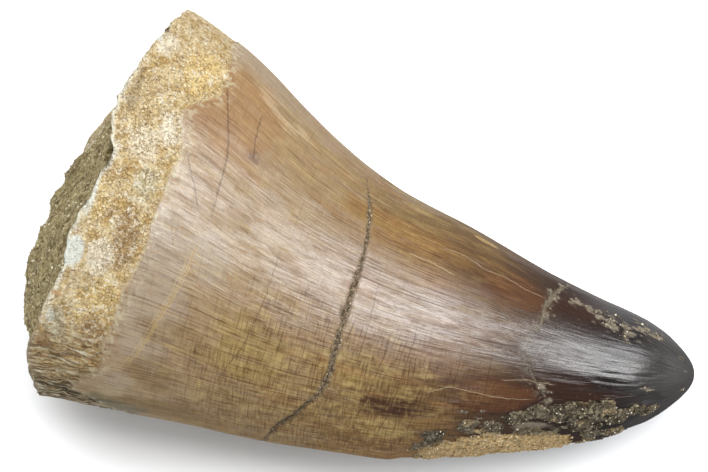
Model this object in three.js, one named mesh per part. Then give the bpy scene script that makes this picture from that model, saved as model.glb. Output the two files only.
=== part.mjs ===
// A fossil mosasaur tooth, lying on its side as a collector keeps it.
//
// Three pieces make it up: the tooth itself (enamelled crown and the broken root below it),
// the sandstone that fills the hollow of the root, and a thin sandstone crust that is still
// stuck along one edge near the tip.
//
// Millimetres. X runs from the broken base towards the tip and Z is up. The tooth rests on a
// small worn flat, and the middle of that flat is the origin. "Around" is an angle in degrees
// about the tooth: 0 is the top, 90 faces -Y, 180 is the underside.

import * as THREE from 'three';

// ---- driving dimensions ----------------------------------------------------------------

const TOOTH_LENGTH = 58.8; // from the plane of the base corners to the tip
const TIP_ROUNDING = 6.6; // the last stretch, where the sections close like an ellipse
const REST_CENTRE = { x: 18.8, y: -2.9 }; // middle of the worn flat, seen from the base corners

// The tooth's sections. Each stands square to X at its distance from the base corners:
// distance, middle across, half width, height over width, and level of the underside.
// An underside below zero is what the worn flat takes off.
const SECTIONS = [
  { at: 0, middle: 0.0, halfWidth: 20.6, flatness: 0.8, underside: 0.4 },
  { at: 8, middle: -0.9, halfWidth: 18.8, flatness: 0.8, underside: -0.15 },
  { at: 16, middle: -2.7, halfWidth: 16.1, flatness: 0.81, underside: -0.5 },
  { at: 25, middle: -3.9, halfWidth: 13.6, flatness: 0.83, underside: -0.4 },
  { at: 34, middle: -4.2, halfWidth: 11.8, flatness: 0.86, underside: 0.1 },
  { at: 43, middle: -3.5, halfWidth: 8.9, flatness: 0.89, underside: 0.9 },
  { at: 52, middle: -2.1, halfWidth: 5.9, flatness: 0.92, underside: 2.0 },
  { at: 60, middle: 0.0, halfWidth: 3.5, flatness: 0.94, underside: 3.3 },
];

// The broken rim of the root: around, and distance from the base corners.
const BROKEN_RIM = [
  [-180, -8.4], [-150, -5.6], [-120, -1.1], [-90, 1.6], [-62, 1.6], [-47, 1.1], [-35, 0.5],
  [-21, -0.1], [-9, -0.4], [0, 0.5], [12, -0.2], [25, -1.1], [36, -0.9], [45, -1.7],
  [56, -2.1], [62, -3.0], [75, -2.4], [90, -1.5], [115, -3.9], [150, -7.3],
];

// Where the enamel of the crown ends and the bare root begins: around, and distance.
const ENAMEL_EDGE = [
  [-180, 6.4], [-140, 5.6], [-100, 6.6], [-66, 7.1], [-40, 8.1], [-31, 7.5], [-22, 5.7],
  [-8, 6.2], [15, 5.9], [35, 4.8], [54, 3.9], [62, 4.1], [79, 1.4], [98, 4.0], [140, 5.8],
];
const ENAMEL_THICKNESS = 0.15;
const ENAMEL_EDGE_HALF_WIDTH = 0.6; // over this the edge runs down to the root
const ROOT_ROUGHNESS = 0.35;
const KEEL_HEIGHT = 0.3; // the two cutting edges, one on each side of the crown
const KEEL_HALF_ANGLE = 6;
const KEEL_SPAN = { starts: 8, full: 16, fades: 50, ends: 57.8 }; // distances along the crown

const ROOT_WALL = { thinnest: 0.9, thickest: 2.2 }; // at the break
const HOLLOW_LEDGE = 0.9; // depth at which the wall of the hollow turns inwards
const HOLLOW_DEPTH = 8.0; // deepest point of the hollow below the break
const CLEARANCE = 0.3; // between pieces that touch

// Lumps of the sandstone in the hollow: around, share of the radius, height and spread.
const MATRIX_LUMPS = [
  { around: 120, reach: 0.42, height: 3.4, spread: 9.5 },
  { around: 100, reach: 0.72, height: 1.2, spread: 4.5 },
  { around: -160, reach: 0.5, height: 1.5, spread: 8.0 },
  { around: -95, reach: 0.6, height: 0.9, spread: 5.0 },
  { around: -40, reach: 0.5, height: 0.7, spread: 4.0 },
];
const MATRIX_ROUGHNESS = 0.3;
const MATRIX_BACK_CLEARANCE = 1.4 * CLEARANCE; // along X, where the bowl's slope narrows a gap

// The crust near the tip: distance, the two angles between which it lies, and thickness.
const CRUST_STRIPS = [
  { at: 33.5, from: 84, to: 96, thickness: 0.3 },
  { at: 36, from: 69, to: 108, thickness: 0.5 },
  { at: 39, from: 64, to: 114, thickness: 0.55 },
  { at: 42, from: 55, to: 118, thickness: 0.5 },
  { at: 45, from: 40, to: 118, thickness: 0.5 },
  { at: 49, from: 34, to: 114, thickness: 0.55 },
  { at: 53, from: 35, to: 108, thickness: 0.5 },
  { at: 55.5, from: 44, to: 92, thickness: 0.4 },
  { at: 56.5, from: 60, to: 76, thickness: 0.3 },
];
const CRUST_BED_DEPTH = 1.0; // how far the enamel is worn away under the crust
const CRUST_BED_FADE = { along: 2.0, around: 16 };
const CRUST_EDGE = 0.35; // thickness at the long edges, as a share of the middle's
const CRUST_LUMPS = 0.35; // height of its lumps, as a share of the thickness
const CRUST_POINT = 0.4; // how far each end runs out past its first or last strip

// Cracks that run round the tooth: around, distance, and width. No width is no crack.
const MAIN_CRACK = [
  [-180, 21.4, 0.2], [-120, 22.0, 0], [-75, 22.5, 0], [-51, 23.1, 0.2], [-42, 23.8, 0.5],
  [-34, 24.3, 0.9], [-27, 24.6, 0.5], [-15, 24.9, 0.5], [0, 24.9, 0.8], [12, 24.7, 1.0],
  [25, 24.7, 1.0], [36, 24.7, 0.8], [45, 24.4, 0.7], [56, 23.0, 0.5], [71, 21.2, 0.4],
  [80, 20.3, 0.3], [110, 19.6, 0.25], [150, 20.6, 0.3],
];
const TIP_CRACK = [
  [-180, 45.5, 0], [-95, 45.0, 0], [-62, 44.2, 0.2], [-44, 43.3, 0.6], [-30, 42.8, 0.5],
  [-18, 42.8, 0.2], [0, 42.2, 0], [22, 43.6, 0.15], [31, 44.8, 0.15], [60, 45.5, 0],
];
const CRACK_DEPTH = 0.5; // as a share of the width
const LEAST_LIP = 0.12; // from the middle of a crack's line to the rings beside it

// ---- how finely each piece is divided ----------------------------------------------------

const TOOTH_SIDES = 64;
const ROOT_BAND_END = 9; // distance up to which the rings stand close, for the root's lumps
const ROOT_RINGS = 8;
const LOWER_CROWN_RINGS = 9;
const UPPER_CROWN_RINGS = 9;
const SHOULDER_RINGS = 5;
const TIP_RINGS = 9;
const HOLLOW_RINGS = 6;
const MATRIX_SIDES = 40;
const MATRIX_FACE_RINGS = 9;
const MATRIX_BACK_RINGS = 5;
const CRUST_RINGS = 30;
const CRUST_STEPS_ACROSS = 7;

// ---- curves ------------------------------------------------------------------------------

// A smooth line through points [where, value], with the slope at each point weighed from
// its two neighbours.
function throughPoints(points, where) {
  const last = points.length - 1;
  const run = (k) => points[k + 1][0] - points[k][0];
  const rise = (k) => (points[k + 1][1] - points[k][1]) / run(k);
  const slope = (k) => {
    if (k === 0) return rise(0);
    if (k === last) return rise(last - 1);
    return (rise(k - 1) * run(k) + rise(k) * run(k - 1)) / (run(k - 1) + run(k));
  };
  let k = 0;
  while (k < last - 1 && where > points[k + 1][0]) k += 1;
  const t = (where - points[k][0]) / run(k);
  const [t2, t3] = [t * t, t * t * t];
  return (2 * t3 - 3 * t2 + 1) * points[k][1] + (t3 - 2 * t2 + t) * run(k) * slope(k)
    + (3 * t2 - 2 * t3) * points[k + 1][1] + (t3 - t2) * run(k) * slope(k + 1);
}

// The same for a line that closes after a full turn.
function aroundTooth(points, around) {
  const turned = (by) => points.map(([angle, value]) => [angle + by, value]);
  const angle = THREE.MathUtils.euclideanModulo(around + 180, 360) - 180;
  return throughPoints([...turned(-360), ...turned(0), ...turned(360)], angle);
}

const column = (rows, name) => rows.map((row) => [row.at, row[name]]);
const MIDDLE = column(SECTIONS, 'middle');
const HALF_WIDTH = column(SECTIONS, 'halfWidth');
const FLATNESS = column(SECTIONS, 'flatness');
const UNDERSIDE = column(SECTIONS, 'underside');

const turn = (sides) => Array.from({ length: sides }, (_, k) => (360 * k) / sides);
const shares = (count) => Array.from({ length: count }, (_, k) => (k + 1) / count);
const radians = THREE.MathUtils.degToRad;
const bell = (distance, spread) => Math.exp(-((distance / spread) ** 2));
const angleBetween = (a, b) => Math.abs(THREE.MathUtils.euclideanModulo(a - b + 180, 360) - 180);

// ---- the tooth's surface -----------------------------------------------------------------

// The smooth form: share 1 is the surface, and less lies nearer to the middle line.
function toothForm(at, around, share = 1) {
  const halfWidth = throughPoints(HALF_WIDTH, at);
  const halfHeight = halfWidth * throughPoints(FLATNESS, at);
  const towardsTip = THREE.MathUtils.clamp((at - TOOTH_LENGTH) / TIP_ROUNDING + 1, 0, 1);
  const closing = Math.sqrt(1 - towardsTip ** 2) * share;
  const angle = radians(around);
  return new THREE.Vector3(
    at,
    throughPoints(MIDDLE, at) - halfWidth * closing * Math.sin(angle),
    throughPoints(UNDERSIDE, at) + halfHeight * (1 + closing * Math.cos(angle)),
  );
}

// The way out of the surface at a point.
function outwards(at, around) {
  const step = 0.2;
  const along = toothForm(at + step, around).sub(toothForm(at - step, around));
  const across = toothForm(at, around + 1).sub(toothForm(at, around - 1));
  return along.cross(across).normalize().negate();
}

// Low lumps of the bare root, in step with the turn so that they close on themselves.
function rootLumps(at, around) {
  const angle = radians(around);
  const coarse = Math.sin(9 * angle + 1.3 * at) * Math.sin(1.1 * at + 0.7);
  const fine = Math.sin(17 * angle - 1.8 * at + 1.1) * Math.sin(2.3 * at + 2.0 * Math.sin(3 * angle));
  return 0.55 * coarse + 0.45 * fine;
}

// Where a crack runs at an angle, and how wide it is there.
function crackAt(crack, around) {
  const distance = aroundTooth(crack.map(([angle, at]) => [angle, at]), around);
  const width = aroundTooth(crack.map(([angle, , wide]) => [angle, wide]), around);
  return { distance, width: Math.max(width, 0) };
}

function crackDepth(crack, at, around) {
  const { distance, width } = crackAt(crack, around);
  if (width === 0) return 0;
  return CRACK_DEPTH * width * Math.max(1 - Math.abs(at - distance) / (width / 2), 0);
}

function crustStrip(at) {
  return {
    from: throughPoints(column(CRUST_STRIPS, 'from'), at),
    to: throughPoints(column(CRUST_STRIPS, 'to'), at),
    thickness: throughPoints(column(CRUST_STRIPS, 'thickness'), at),
  };
}

// How much of the crust's bed a point is in, from 0 to 1.
function crustBed(at, around) {
  const nearest = THREE.MathUtils.clamp(at, CRUST_STRIPS[0].at, CRUST_STRIPS.at(-1).at);
  const { from, to } = crustStrip(nearest);
  const outAlong = Math.abs(at - nearest) / CRUST_BED_FADE.along;
  const outAround = Math.max(from - around, around - to, 0) / CRUST_BED_FADE.around;
  return THREE.MathUtils.smoothstep(1 - Math.hypot(outAlong, outAround), 0, 1);
}

// Height of the real surface over the smooth form.
function toothRelief(at, around) {
  const pastEdge = at - aroundTooth(ENAMEL_EDGE, around);
  const root = 1 - THREE.MathUtils.smoothstep(pastEdge, -ENAMEL_EDGE_HALF_WIDTH, ENAMEL_EDGE_HALF_WIDTH);
  const rough = root * (ROOT_ROUGHNESS * rootLumps(at, around) - ENAMEL_THICKNESS);
  const nearestEdge = Math.min(angleBetween(around, 90), angleBetween(around, -90));
  const onCrown = THREE.MathUtils.smoothstep(at, KEEL_SPAN.starts, KEEL_SPAN.full)
    * (1 - THREE.MathUtils.smoothstep(at, KEEL_SPAN.fades, KEEL_SPAN.ends));
  const keel = KEEL_HEIGHT * onCrown * bell(nearestEdge, KEEL_HALF_ANGLE);
  const cracks = crackDepth(MAIN_CRACK, at, around) + crackDepth(TIP_CRACK, at, around);
  return rough + keel - cracks - CRUST_BED_DEPTH * crustBed(at, around);
}

// A point of the real surface, or over it by the given height. What would reach below the
// worn flat lies on it.
function toothSurface(at, around, over = 0) {
  const point = toothForm(at, around);
  point.addScaledVector(outwards(at, around), toothRelief(at, around) + over);
  point.z = Math.max(point.z, 0);
  return point;
}

// ---- the broken base ---------------------------------------------------------------------

// The rim's waves: how much of each whole number of waves per turn is in it.
const RIM_WAVES = 6;
const rimWaves = Array.from({ length: RIM_WAVES + 1 }, (_, wave) => {
  const angles = turn(72);
  const share = (swing) => angles.reduce((sum, around) => (
    sum + (aroundTooth(BROKEN_RIM, around) * swing(radians(wave * around)) * 2) / angles.length
  ), 0);
  return { wave, cosine: share(Math.cos) / (wave === 0 ? 2 : 1), sine: share(Math.sin) };
});

// Distance of the break. Inside the rim it spreads like a soap film, because each wave fades
// towards the middle.

function breakDistance(around, share) {
  return rimWaves.reduce((sum, { wave, cosine, sine }) => {
    const angle = radians(wave * around);
    return sum + share ** wave * (cosine * Math.cos(angle) + sine * Math.sin(angle));
  }, 0);
}

// A point on the break, or deeper in the tooth by the given depth.
function breakPoint(around, share, depth = 0) {
  const distance = breakDistance(around, share);
  const point = toothForm(distance, around, share);
  point.x += depth;
  return point;
}

// The hollow's share of the base at the break, and the share that the sandstone in it fills.
const BASE_RADIUS = SECTIONS[0].halfWidth * SECTIONS[0].flatness;
function innerShare(around) {
  const swell = 0.5 + 0.25 * (Math.sin(radians(2 * around - 40)) + Math.sin(radians(5 * around)));
  const wall = THREE.MathUtils.lerp(ROOT_WALL.thinnest, ROOT_WALL.thickest, swell);
  return 1 - wall / BASE_RADIUS;
}
const matrixShare = (around) => innerShare(around) - CLEARANCE / BASE_RADIUS;
const bowl = (share) => (HOLLOW_DEPTH - HOLLOW_LEDGE) * (1 - share ** 2);

// ---- meshes ------------------------------------------------------------------------------

// A closed skin over rings of points, with a single point at each end. Each ring turns
// anticlockwise when it is seen from the first end.
function skinOver(startPoint, rings, endPoint) {
  const sides = rings[0].length;
  const points = [startPoint, ...rings.flat(), endPoint];
  const corner = (ring, side) => 1 + ring * sides + (side % sides);
  const end = points.length - 1;
  const faces = [];
  for (let side = 0; side < sides; side += 1) {
    faces.push(0, corner(0, side + 1), corner(0, side));
    for (let ring = 0; ring < rings.length - 1; ring += 1) {
      const [a, b] = [corner(ring, side), corner(ring, side + 1)];
      const [c, d] = [corner(ring + 1, side), corner(ring + 1, side + 1)];
      faces.push(a, b, c, b, d, c);
    }
    faces.push(corner(rings.length - 1, side), corner(rings.length - 1, side + 1), end);
  }
  const geometry = new THREE.BufferGeometry().setFromPoints(points);
  geometry.setIndex(faces);
  geometry.computeVertexNormals();
  return geometry;
}

// ---- the tooth ---------------------------------------------------------------------------

// Distances of the outer rings for one angle, from the rim to just short of the tip. Each
// crack has a ring on its middle and one on each lip.
function ringDistances(around) {
  const tipStart = TOOTH_LENGTH - TIP_ROUNDING;
  const lips = (crack) => {
    const { distance, width } = crackAt(crack, around);
    const half = Math.max(width / 2, LEAST_LIP);
    return [distance - half, distance, distance + half];
  };
  const between = (from, to, count) => shares(count + 1).slice(0, -1)
    .map((share) => from + (to - from) * share);
  const rim = breakDistance(around, 1);
  const main = lips(MAIN_CRACK);
  const upper = lips(TIP_CRACK);
  const tip = shares(TIP_RINGS).slice(0, -1)
    .map((share) => tipStart + TIP_ROUNDING * Math.sin(radians(90 * share)));
  return [
    rim, ...between(rim, ROOT_BAND_END, ROOT_RINGS), ROOT_BAND_END,
    ...between(ROOT_BAND_END, main[0], LOWER_CROWN_RINGS), ...main,
    ...between(main[2], upper[0], UPPER_CROWN_RINGS), ...upper,
    ...between(upper[2], tipStart, SHOULDER_RINGS), tipStart, ...tip,
  ];
}

function makeTooth() {
  const angles = turn(TOOTH_SIDES);
  const hollow = shares(HOLLOW_RINGS).map((share) => (
    angles.map((around) => (
      breakPoint(around, innerShare(around) * share, HOLLOW_LEDGE + bowl(share))
    ))
  ));
  const innerEdge = angles.map((around) => breakPoint(around, innerShare(around)));
  const distances = angles.map(ringDistances);
  const outer = distances[0].map((_, ring) => (
    angles.map((around, side) => toothSurface(distances[side][ring], around))
  ));
  const floor = breakPoint(0, 0, HOLLOW_LEDGE + bowl(0));
  return skinOver(floor, [...hollow, innerEdge, ...outer], toothForm(TOOTH_LENGTH, 0));
}

// ---- the sandstone in the hollow ---------------------------------------------------------

function matrixFace(around, share) {
  const here = breakPoint(around, matrixShare(around) * share, CLEARANCE);
  const fromEdge = 1 - share ** 6;
  const lumps = MATRIX_LUMPS.reduce((sum, lump) => {
    const top = breakPoint(lump.around, lump.reach, CLEARANCE);
    return sum + lump.height * bell(Math.hypot(here.y - top.y, here.z - top.z), lump.spread);
  }, 0);
  const grit = Math.sin(0.9 * here.y + 1.2 * Math.sin(0.5 * here.z))
    * Math.sin(0.8 * here.z + 0.9 * Math.sin(0.6 * here.y) + 1.0);
  here.x -= fromEdge * (lumps + MATRIX_ROUGHNESS * grit);
  return here;
}

function makeMatrixFill() {
  const angles = turn(MATRIX_SIDES);
  const matrixBack = HOLLOW_LEDGE - MATRIX_BACK_CLEARANCE;
  const face = shares(MATRIX_FACE_RINGS).map((share) => (
    angles.map((around) => matrixFace(around, share))
  ));
  const back = shares(MATRIX_BACK_RINGS).reverse().map((share) => (
    angles.map((around) => (
      breakPoint(around, matrixShare(around) * share, matrixBack + bowl(share))
    ))
  ));
  const backMiddle = breakPoint(0, 0, matrixBack + bowl(0));
  return skinOver(matrixFace(0, 0), [...face, ...back], backMiddle);
}

// ---- the crust near the tip --------------------------------------------------------------

// Height of the crust's outer face over its bed, at a share of the way across the strip.
function crustHeight(at, thickness, share) {
  const lump = Math.sin(2.1 * at + 5 * share) * Math.sin(1.3 * at - 9 * share + 1);
  const edge = THREE.MathUtils.lerp(CRUST_EDGE, 1, Math.sin(Math.PI * share) ** 0.7);
  return thickness * edge * (1 + CRUST_LUMPS * lump);
}

function makeMatrixCrust() {
  const first = CRUST_STRIPS[0].at;
  const last = CRUST_STRIPS.at(-1).at;
  const across = [0, ...shares(CRUST_STEPS_ACROSS)];
  const rings = [0, ...shares(CRUST_RINGS)].map((along) => {
    const at = first + (last - first) * along;
    const { from, to, thickness } = crustStrip(at);
    const face = (height) => across.map((share) => (
      toothSurface(at, from + (to - from) * share, CLEARANCE + height(share))
    ));
    return [...face((share) => crustHeight(at, thickness, share)), ...face(() => 0).reverse()];
  });
  const point = (at) => {
    const { from, to, thickness } = crustStrip(at);
    return toothSurface(at, (from + to) / 2, CLEARANCE + 0.2 * thickness);
  };
  return skinOver(point(first - CRUST_POINT), rings, point(last + CRUST_POINT));
}

// ---- the object --------------------------------------------------------------------------

const enamel = new THREE.MeshStandardMaterial({ color: 0x9a7350, roughness: 0.4, metalness: 0 });
const sandstone = new THREE.MeshStandardMaterial({ color: 0x8f8460, roughness: 0.95, metalness: 0 });
const crust = new THREE.MeshStandardMaterial({ color: 0x857c66, roughness: 0.9, metalness: 0 });

const group = new THREE.Group();
for (const [name, geometry, material] of [
  ['tooth', makeTooth(), enamel],
  ['matrix_fill', makeMatrixFill(), sandstone],
  ['matrix_crust', makeMatrixCrust(), crust],
]) {
  const mesh = new THREE.Mesh(geometry, material);
  mesh.name = name;
  group.add(mesh);
}
group.position.set(-REST_CENTRE.x, -REST_CENTRE.y, 0);

export default group;
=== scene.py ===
"""A fossil mosasaur tooth lying on its side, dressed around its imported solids.

Sizes in the tables below are millimetres along the tooth from the corners of its base, and
degrees around it: 0 is the top, 90 faces -Y, 180 is the underside. Blender's are metres.
"""

import itertools
import math
from functools import partialmethod

import bpy
import numpy as np
from bpy.props import FloatProperty, FloatVectorProperty, IntProperty, PointerProperty
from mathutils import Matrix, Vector


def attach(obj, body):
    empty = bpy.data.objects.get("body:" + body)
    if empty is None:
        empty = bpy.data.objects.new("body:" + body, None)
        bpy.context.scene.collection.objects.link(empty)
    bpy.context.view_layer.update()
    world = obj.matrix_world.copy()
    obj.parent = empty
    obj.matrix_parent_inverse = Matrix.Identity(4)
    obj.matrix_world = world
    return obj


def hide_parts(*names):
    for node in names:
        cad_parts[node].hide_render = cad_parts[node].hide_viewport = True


bl_info = {
    "name": "Fossil Mosasaur Tooth",
    "version": (1, 0, 0),
    "blender": (4, 5, 0),
    "location": "View3D > Sidebar > Fossil",
    "description": "Builds a fossil tooth with its sandstone, and the stage it lies on",
    "category": "Add Mesh",
}

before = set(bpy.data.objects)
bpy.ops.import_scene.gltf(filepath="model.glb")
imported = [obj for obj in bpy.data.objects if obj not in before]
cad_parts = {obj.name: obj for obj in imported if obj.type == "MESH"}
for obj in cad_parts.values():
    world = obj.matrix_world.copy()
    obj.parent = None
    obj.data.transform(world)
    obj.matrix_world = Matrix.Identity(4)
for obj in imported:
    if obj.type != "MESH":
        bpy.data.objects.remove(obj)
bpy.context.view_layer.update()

MM = 0.001
BODY = "root"
REST_CENTRE = (18.8, -2.9)  # middle of the flat it rests on, seen from the base corners

# ---- the shape of the tooth ----------------------------------------------------------------

TOOTH_LENGTH = 58.8
TIP_ROUNDING = 6.6
# distance, middle across, half width, height over width, level of the underside
SECTIONS = np.array([
    (0, 0.0, 20.6, 0.80, 0.4),
    (8, -0.9, 18.8, 0.80, -0.15),
    (16, -2.7, 16.1, 0.81, -0.5),
    (25, -3.9, 13.6, 0.83, -0.4),
    (34, -4.2, 11.8, 0.86, 0.1),
    (43, -3.5, 8.9, 0.89, 0.9),
    (52, -2.1, 5.9, 0.92, 2.0),
    (60, 0.0, 3.5, 0.94, 3.3),
])
BASE_HALF_HEIGHT = SECTIONS[0, 2] * SECTIONS[0, 3]
GROWTH_RADIUS = 14  # of the rolled-out skin that lines of growth are laid on
# around, and distance of the broken rim from the base corners
BROKEN_RIM = np.array([
    (-180, -8.4), (-150, -5.6), (-120, -1.1), (-90, 1.6), (-62, 1.6), (-47, 1.1), (-35, 0.5),
    (-21, -0.1), (-9, -0.4), (0, 0.5), (12, -0.2), (25, -1.1), (36, -0.9), (45, -1.7),
    (56, -2.1), (62, -3.0), (75, -2.4), (90, -1.5), (115, -3.9), (150, -7.3),
])
# around, and distance at which the enamel ends and the bare root begins
ENAMEL_EDGE = np.array([
    (-180, 6.4), (-140, 5.6), (-100, 6.6), (-66, 7.1), (-51, 7.6), (-40, 8.2), (-31, 7.6),
    (-24, 5.8), (-19, 5.6), (-13, 6.3), (-4, 6.4), (3, 6.0), (15, 5.9), (27, 5.5), (35, 4.8),
    (41, 4.6), (48, 4.2), (54, 3.9), (62, 4.1), (70, 2.5), (77, 1.6), (84, 3.6), (93, 6.0),
    (110, 7.5), (140, 6.2),
])
# around, distance and width of each crack: no width is no crack
MAIN_CRACK = np.array([
    (-180, 21.4, 0.2), (-120, 22.0, 0), (-75, 22.5, 0), (-51, 23.1, 0.15), (-42, 23.8, 0.35),
    (-36, 24.2, 0.75), (-31, 24.5, 0.5), (-15, 24.9, 0.55), (0, 24.9, 0.75), (12, 24.7, 0.85),
    (25, 24.7, 0.8), (36, 24.7, 0.8), (45, 24.4, 0.7), (56, 23.0, 0.5), (71, 21.2, 0.5),
    (80, 20.3, 0.3), (110, 19.6, 0.25), (150, 20.6, 0.3),
])
TIP_CRACK = np.array([
    (-180, 45.5, 0), (-95, 45.0, 0), (-62, 44.2, 0.2), (-44, 43.3, 0.6), (-30, 42.8, 0.5),
    (-18, 42.8, 0.2), (0, 42.2, 0), (22, 43.6, 0.15), (31, 44.8, 0.15), (60, 45.5, 0),
])
# where the crust near the tip lies: distance, and the two angles
CRUST_STRIPS = np.array([
    (33.5, 84, 96), (36, 69, 108), (39, 64, 114), (42, 55, 118), (45, 40, 118), (49, 34, 114),
    (53, 35, 108), (55.5, 44, 92), (56.5, 60, 76),
])
# patches of that crust which still cover the enamel: distance, around, and the reach of each
CRUST_PATCHES = (
    (36.0, 80, 2.2, 12), (35.6, 64, 1.0, 6), (38.6, 56, 0.9, 6), (40.2, 78, 2.8, 17),
    (44.6, 86, 3.4, 24), (46.4, 92, 1.9, 18), (42.0, 104, 6.5, 15), (41.0, 58, 1.1, 5),
    (43.0, 51, 1.4, 6), (45.2, 46, 1.6, 7), (47.2, 47, 1.7, 11), (48.8, 52, 1.5, 14),
    (50.4, 46, 1.5, 13), (50.1, 72, 1.0, 17), (52.3, 56, 1.1, 10), (53.9, 51, 1.1, 9),
    (55.3, 62, 0.8, 10), (52.2, 82, 1.1, 8), (51.0, 104, 2.4, 9),
)
# the crust's golden part, between the grey-green patches and the floor
GOLDEN_CRUST = (42.0, 90, 8.5, 30)
# sand that clings to the enamel: distance, around, and the reach of each patch
SPECKS = (
    (43.2, -38, 1.0, 6), (43.1, -23, 0.8, 5), (45.4, -42, 1.0, 6), (47.6, -37, 1.3, 10),
    (49.2, -36, 1.4, 13), (50.9, -36, 1.4, 15), (52.4, -40, 1.2, 14), (54.1, -43, 0.9, 10),
    (56.9, -32, 0.4, 5), (43.5, -55, 0.8, 7), (44.4, 24, 0.5, 6), (45.3, 35, 0.6, 7),
    (39.4, 47, 0.9, 3), (40.4, 54, 0.8, 4), (54.3, 25, 0.7, 7), (36.6, -25, 0.22, 1.6),
    (57.7, -10, 0.2, 6), (57.9, 44, 0.2, 6), (38.0, 45, 0.7, 2),
)
# where the enamel has chipped off beside the main crack: the same
CHIP = (24.6, -76, 0.9, 5)


def through_points(where, points, column=1):
    """Follows a smooth line through points, its slope at each weighed from both neighbours."""
    places, values = points[:, 0], points[:, column]
    runs = np.diff(places)
    rises = np.diff(values) / runs
    slopes = np.concatenate([
        rises[:1],
        (rises[:-1] * runs[1:] + rises[1:] * runs[:-1]) / (runs[:-1] + runs[1:]),
        rises[-1:],
    ])
    k = np.clip(np.searchsorted(places, where) - 1, 0, len(runs) - 1)
    t = (where - places[k]) / runs[k]
    return (
        (2 * t**3 - 3 * t**2 + 1) * values[k] + (t**3 - 2 * t**2 + t) * runs[k] * slopes[k]
        + (3 * t**2 - 2 * t**3) * values[k + 1] + (t**3 - t**2) * runs[k] * slopes[k + 1]
    )


def around_tooth(around, points, column=1):
    """The same for a line that closes after a full turn."""
    turned = [points + np.eye(1, points.shape[1]) * turn for turn in (-360, 0, 360)]
    return through_points((around + 180) % 360 - 180, np.concatenate(turned), column)


def smoothstep(value, low, high):
    t = np.clip((value - low) / (high - low), 0, 1)
    return t * t * (3 - 2 * t)


def bell(distance, spread):
    return np.exp(-((distance / spread) ** 2))


def angle_between(a, b):
    return np.abs((a - b + 180) % 360 - 180)


def hashed(cells, seed):
    """A fixed pseudo-random number from -1 to 1 for each whole-numbered cell."""
    mask = 0xFFFFFFFF
    mixed = (cells @ np.array([73856093, 19349663, 83492791]) + seed * 6542989) & mask
    mixed = ((mixed ^ (mixed >> 15)) * 2246822519) & mask
    mixed = ((mixed ^ (mixed >> 13)) * 3266489917) & mask
    return ((mixed ^ (mixed >> 16)) & 0xFFFF) / 32767.5 - 1


def noise(points, cell, seed, octaves=1):
    """Smooth noise from about -1 to 1. A cell may be stretched by giving its three sides."""
    total = np.zeros(points.shape[:-1])
    for octave in range(octaves):
        scaled = points / (np.asarray(cell, float) / 2**octave) + 17.3 * octave
        base = np.floor(scaled).astype(np.int64)
        t = scaled - base
        t = t * t * (3 - 2 * t)
        for corner in itertools.product((0, 1), repeat=3):
            weight = np.prod(np.where(corner, t, 1 - t), axis=-1)
            total += weight * hashed(base + np.array(corner), seed + octave) / 2**octave
    return total


def tooth_form(at, around, share=1.0):
    """The smooth form. Share 1 is its surface, and less lies nearer to the middle line."""
    half_width = through_points(at, SECTIONS, 2)
    half_height = half_width * through_points(at, SECTIONS, 3)
    towards_tip = np.clip((at - TOOTH_LENGTH) / TIP_ROUNDING + 1, 0, 1)
    closing = np.sqrt(1 - towards_tip**2) * share
    angle = np.radians(around)
    return np.stack([
        at,
        through_points(at, SECTIONS, 1) - half_width * closing * np.sin(angle),
        through_points(at, SECTIONS, 4) + half_height * (1 + closing * np.cos(angle)),
    ], axis=-1)


def outwards(at, around):
    """The way out of the surface at each point."""
    at = np.minimum(at, TOOTH_LENGTH - 0.25)
    along = tooth_form(at + 0.2, around) - tooth_form(at - 0.2, around)
    across = tooth_form(at, around + 1) - tooth_form(at, around - 1)
    out = -np.cross(along, across)
    return out / np.maximum(np.linalg.norm(out, axis=-1, keepdims=True), 1e-9)


def growth_place(at, around):
    """A place on the tooth's own rolled-out skin, which closes on itself. Unlike the real
    place, it keeps lines of growth parallel up to the tip."""
    angle = np.radians(around)
    return np.stack([GROWTH_RADIUS * np.cos(angle), GROWTH_RADIUS * np.sin(angle), at], axis=-1)


# ---- the broken base -----------------------------------------------------------------------

RIM_WAVES = 6
RIM_CHIPS = 0.32
WALL = (0.9, 1.3)  # thickness of the root's wall where it is thinnest, and how much it swells


def rim_waves():
    """How much of each whole number of waves per turn the rim has."""
    around = np.arange(0, 360, 5)
    distance = around_tooth(around, BROKEN_RIM)
    for wave in range(RIM_WAVES + 1):
        angle = np.radians(wave * around)
        share = 1 if wave == 0 else 2
        cosine, sine = np.mean(distance * np.cos(angle)), np.mean(distance * np.sin(angle))
        yield wave, share * cosine, share * sine


def break_distance(around, share):
    """Distance of the break, which spreads from its rim over the base like a soap film."""
    total = 0
    for wave, cosine, sine in rim_waves():
        angle = np.radians(wave * around)
        total = total + share**wave * (cosine * np.cos(angle) + sine * np.sin(angle))
    return total


def broken_form(around, share):
    """The form along the break, at a share of the way out to its rim."""
    return tooth_form(break_distance(around, share), around, share)


def inner_share(around):
    """Share of the base's radius at which the wall of the root ends and the hollow begins."""
    swell = 0.5 + 0.25 * (np.sin(np.radians(2 * around - 40)) + np.sin(np.radians(5 * around)))
    return 1 - (WALL[0] + WALL[1] * swell) / BASE_HALF_HEIGHT


def rim_distance(around):
    """The break's rim with its small chips."""
    place = growth_place(np.zeros_like(around), around)
    chips = np.abs(noise(place, 1.5, 11, octaves=3)) + np.clip(noise(place, 3.4, 12) - 0.2, 0, 1)
    visible = bell(angle_between(around, 0), 60)
    rim = around_tooth(around, BROKEN_RIM) * visible + break_distance(around, 1) * (1 - visible)
    return rim + RIM_CHIPS * chips


# ---- relief of the tooth -------------------------------------------------------------------

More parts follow.
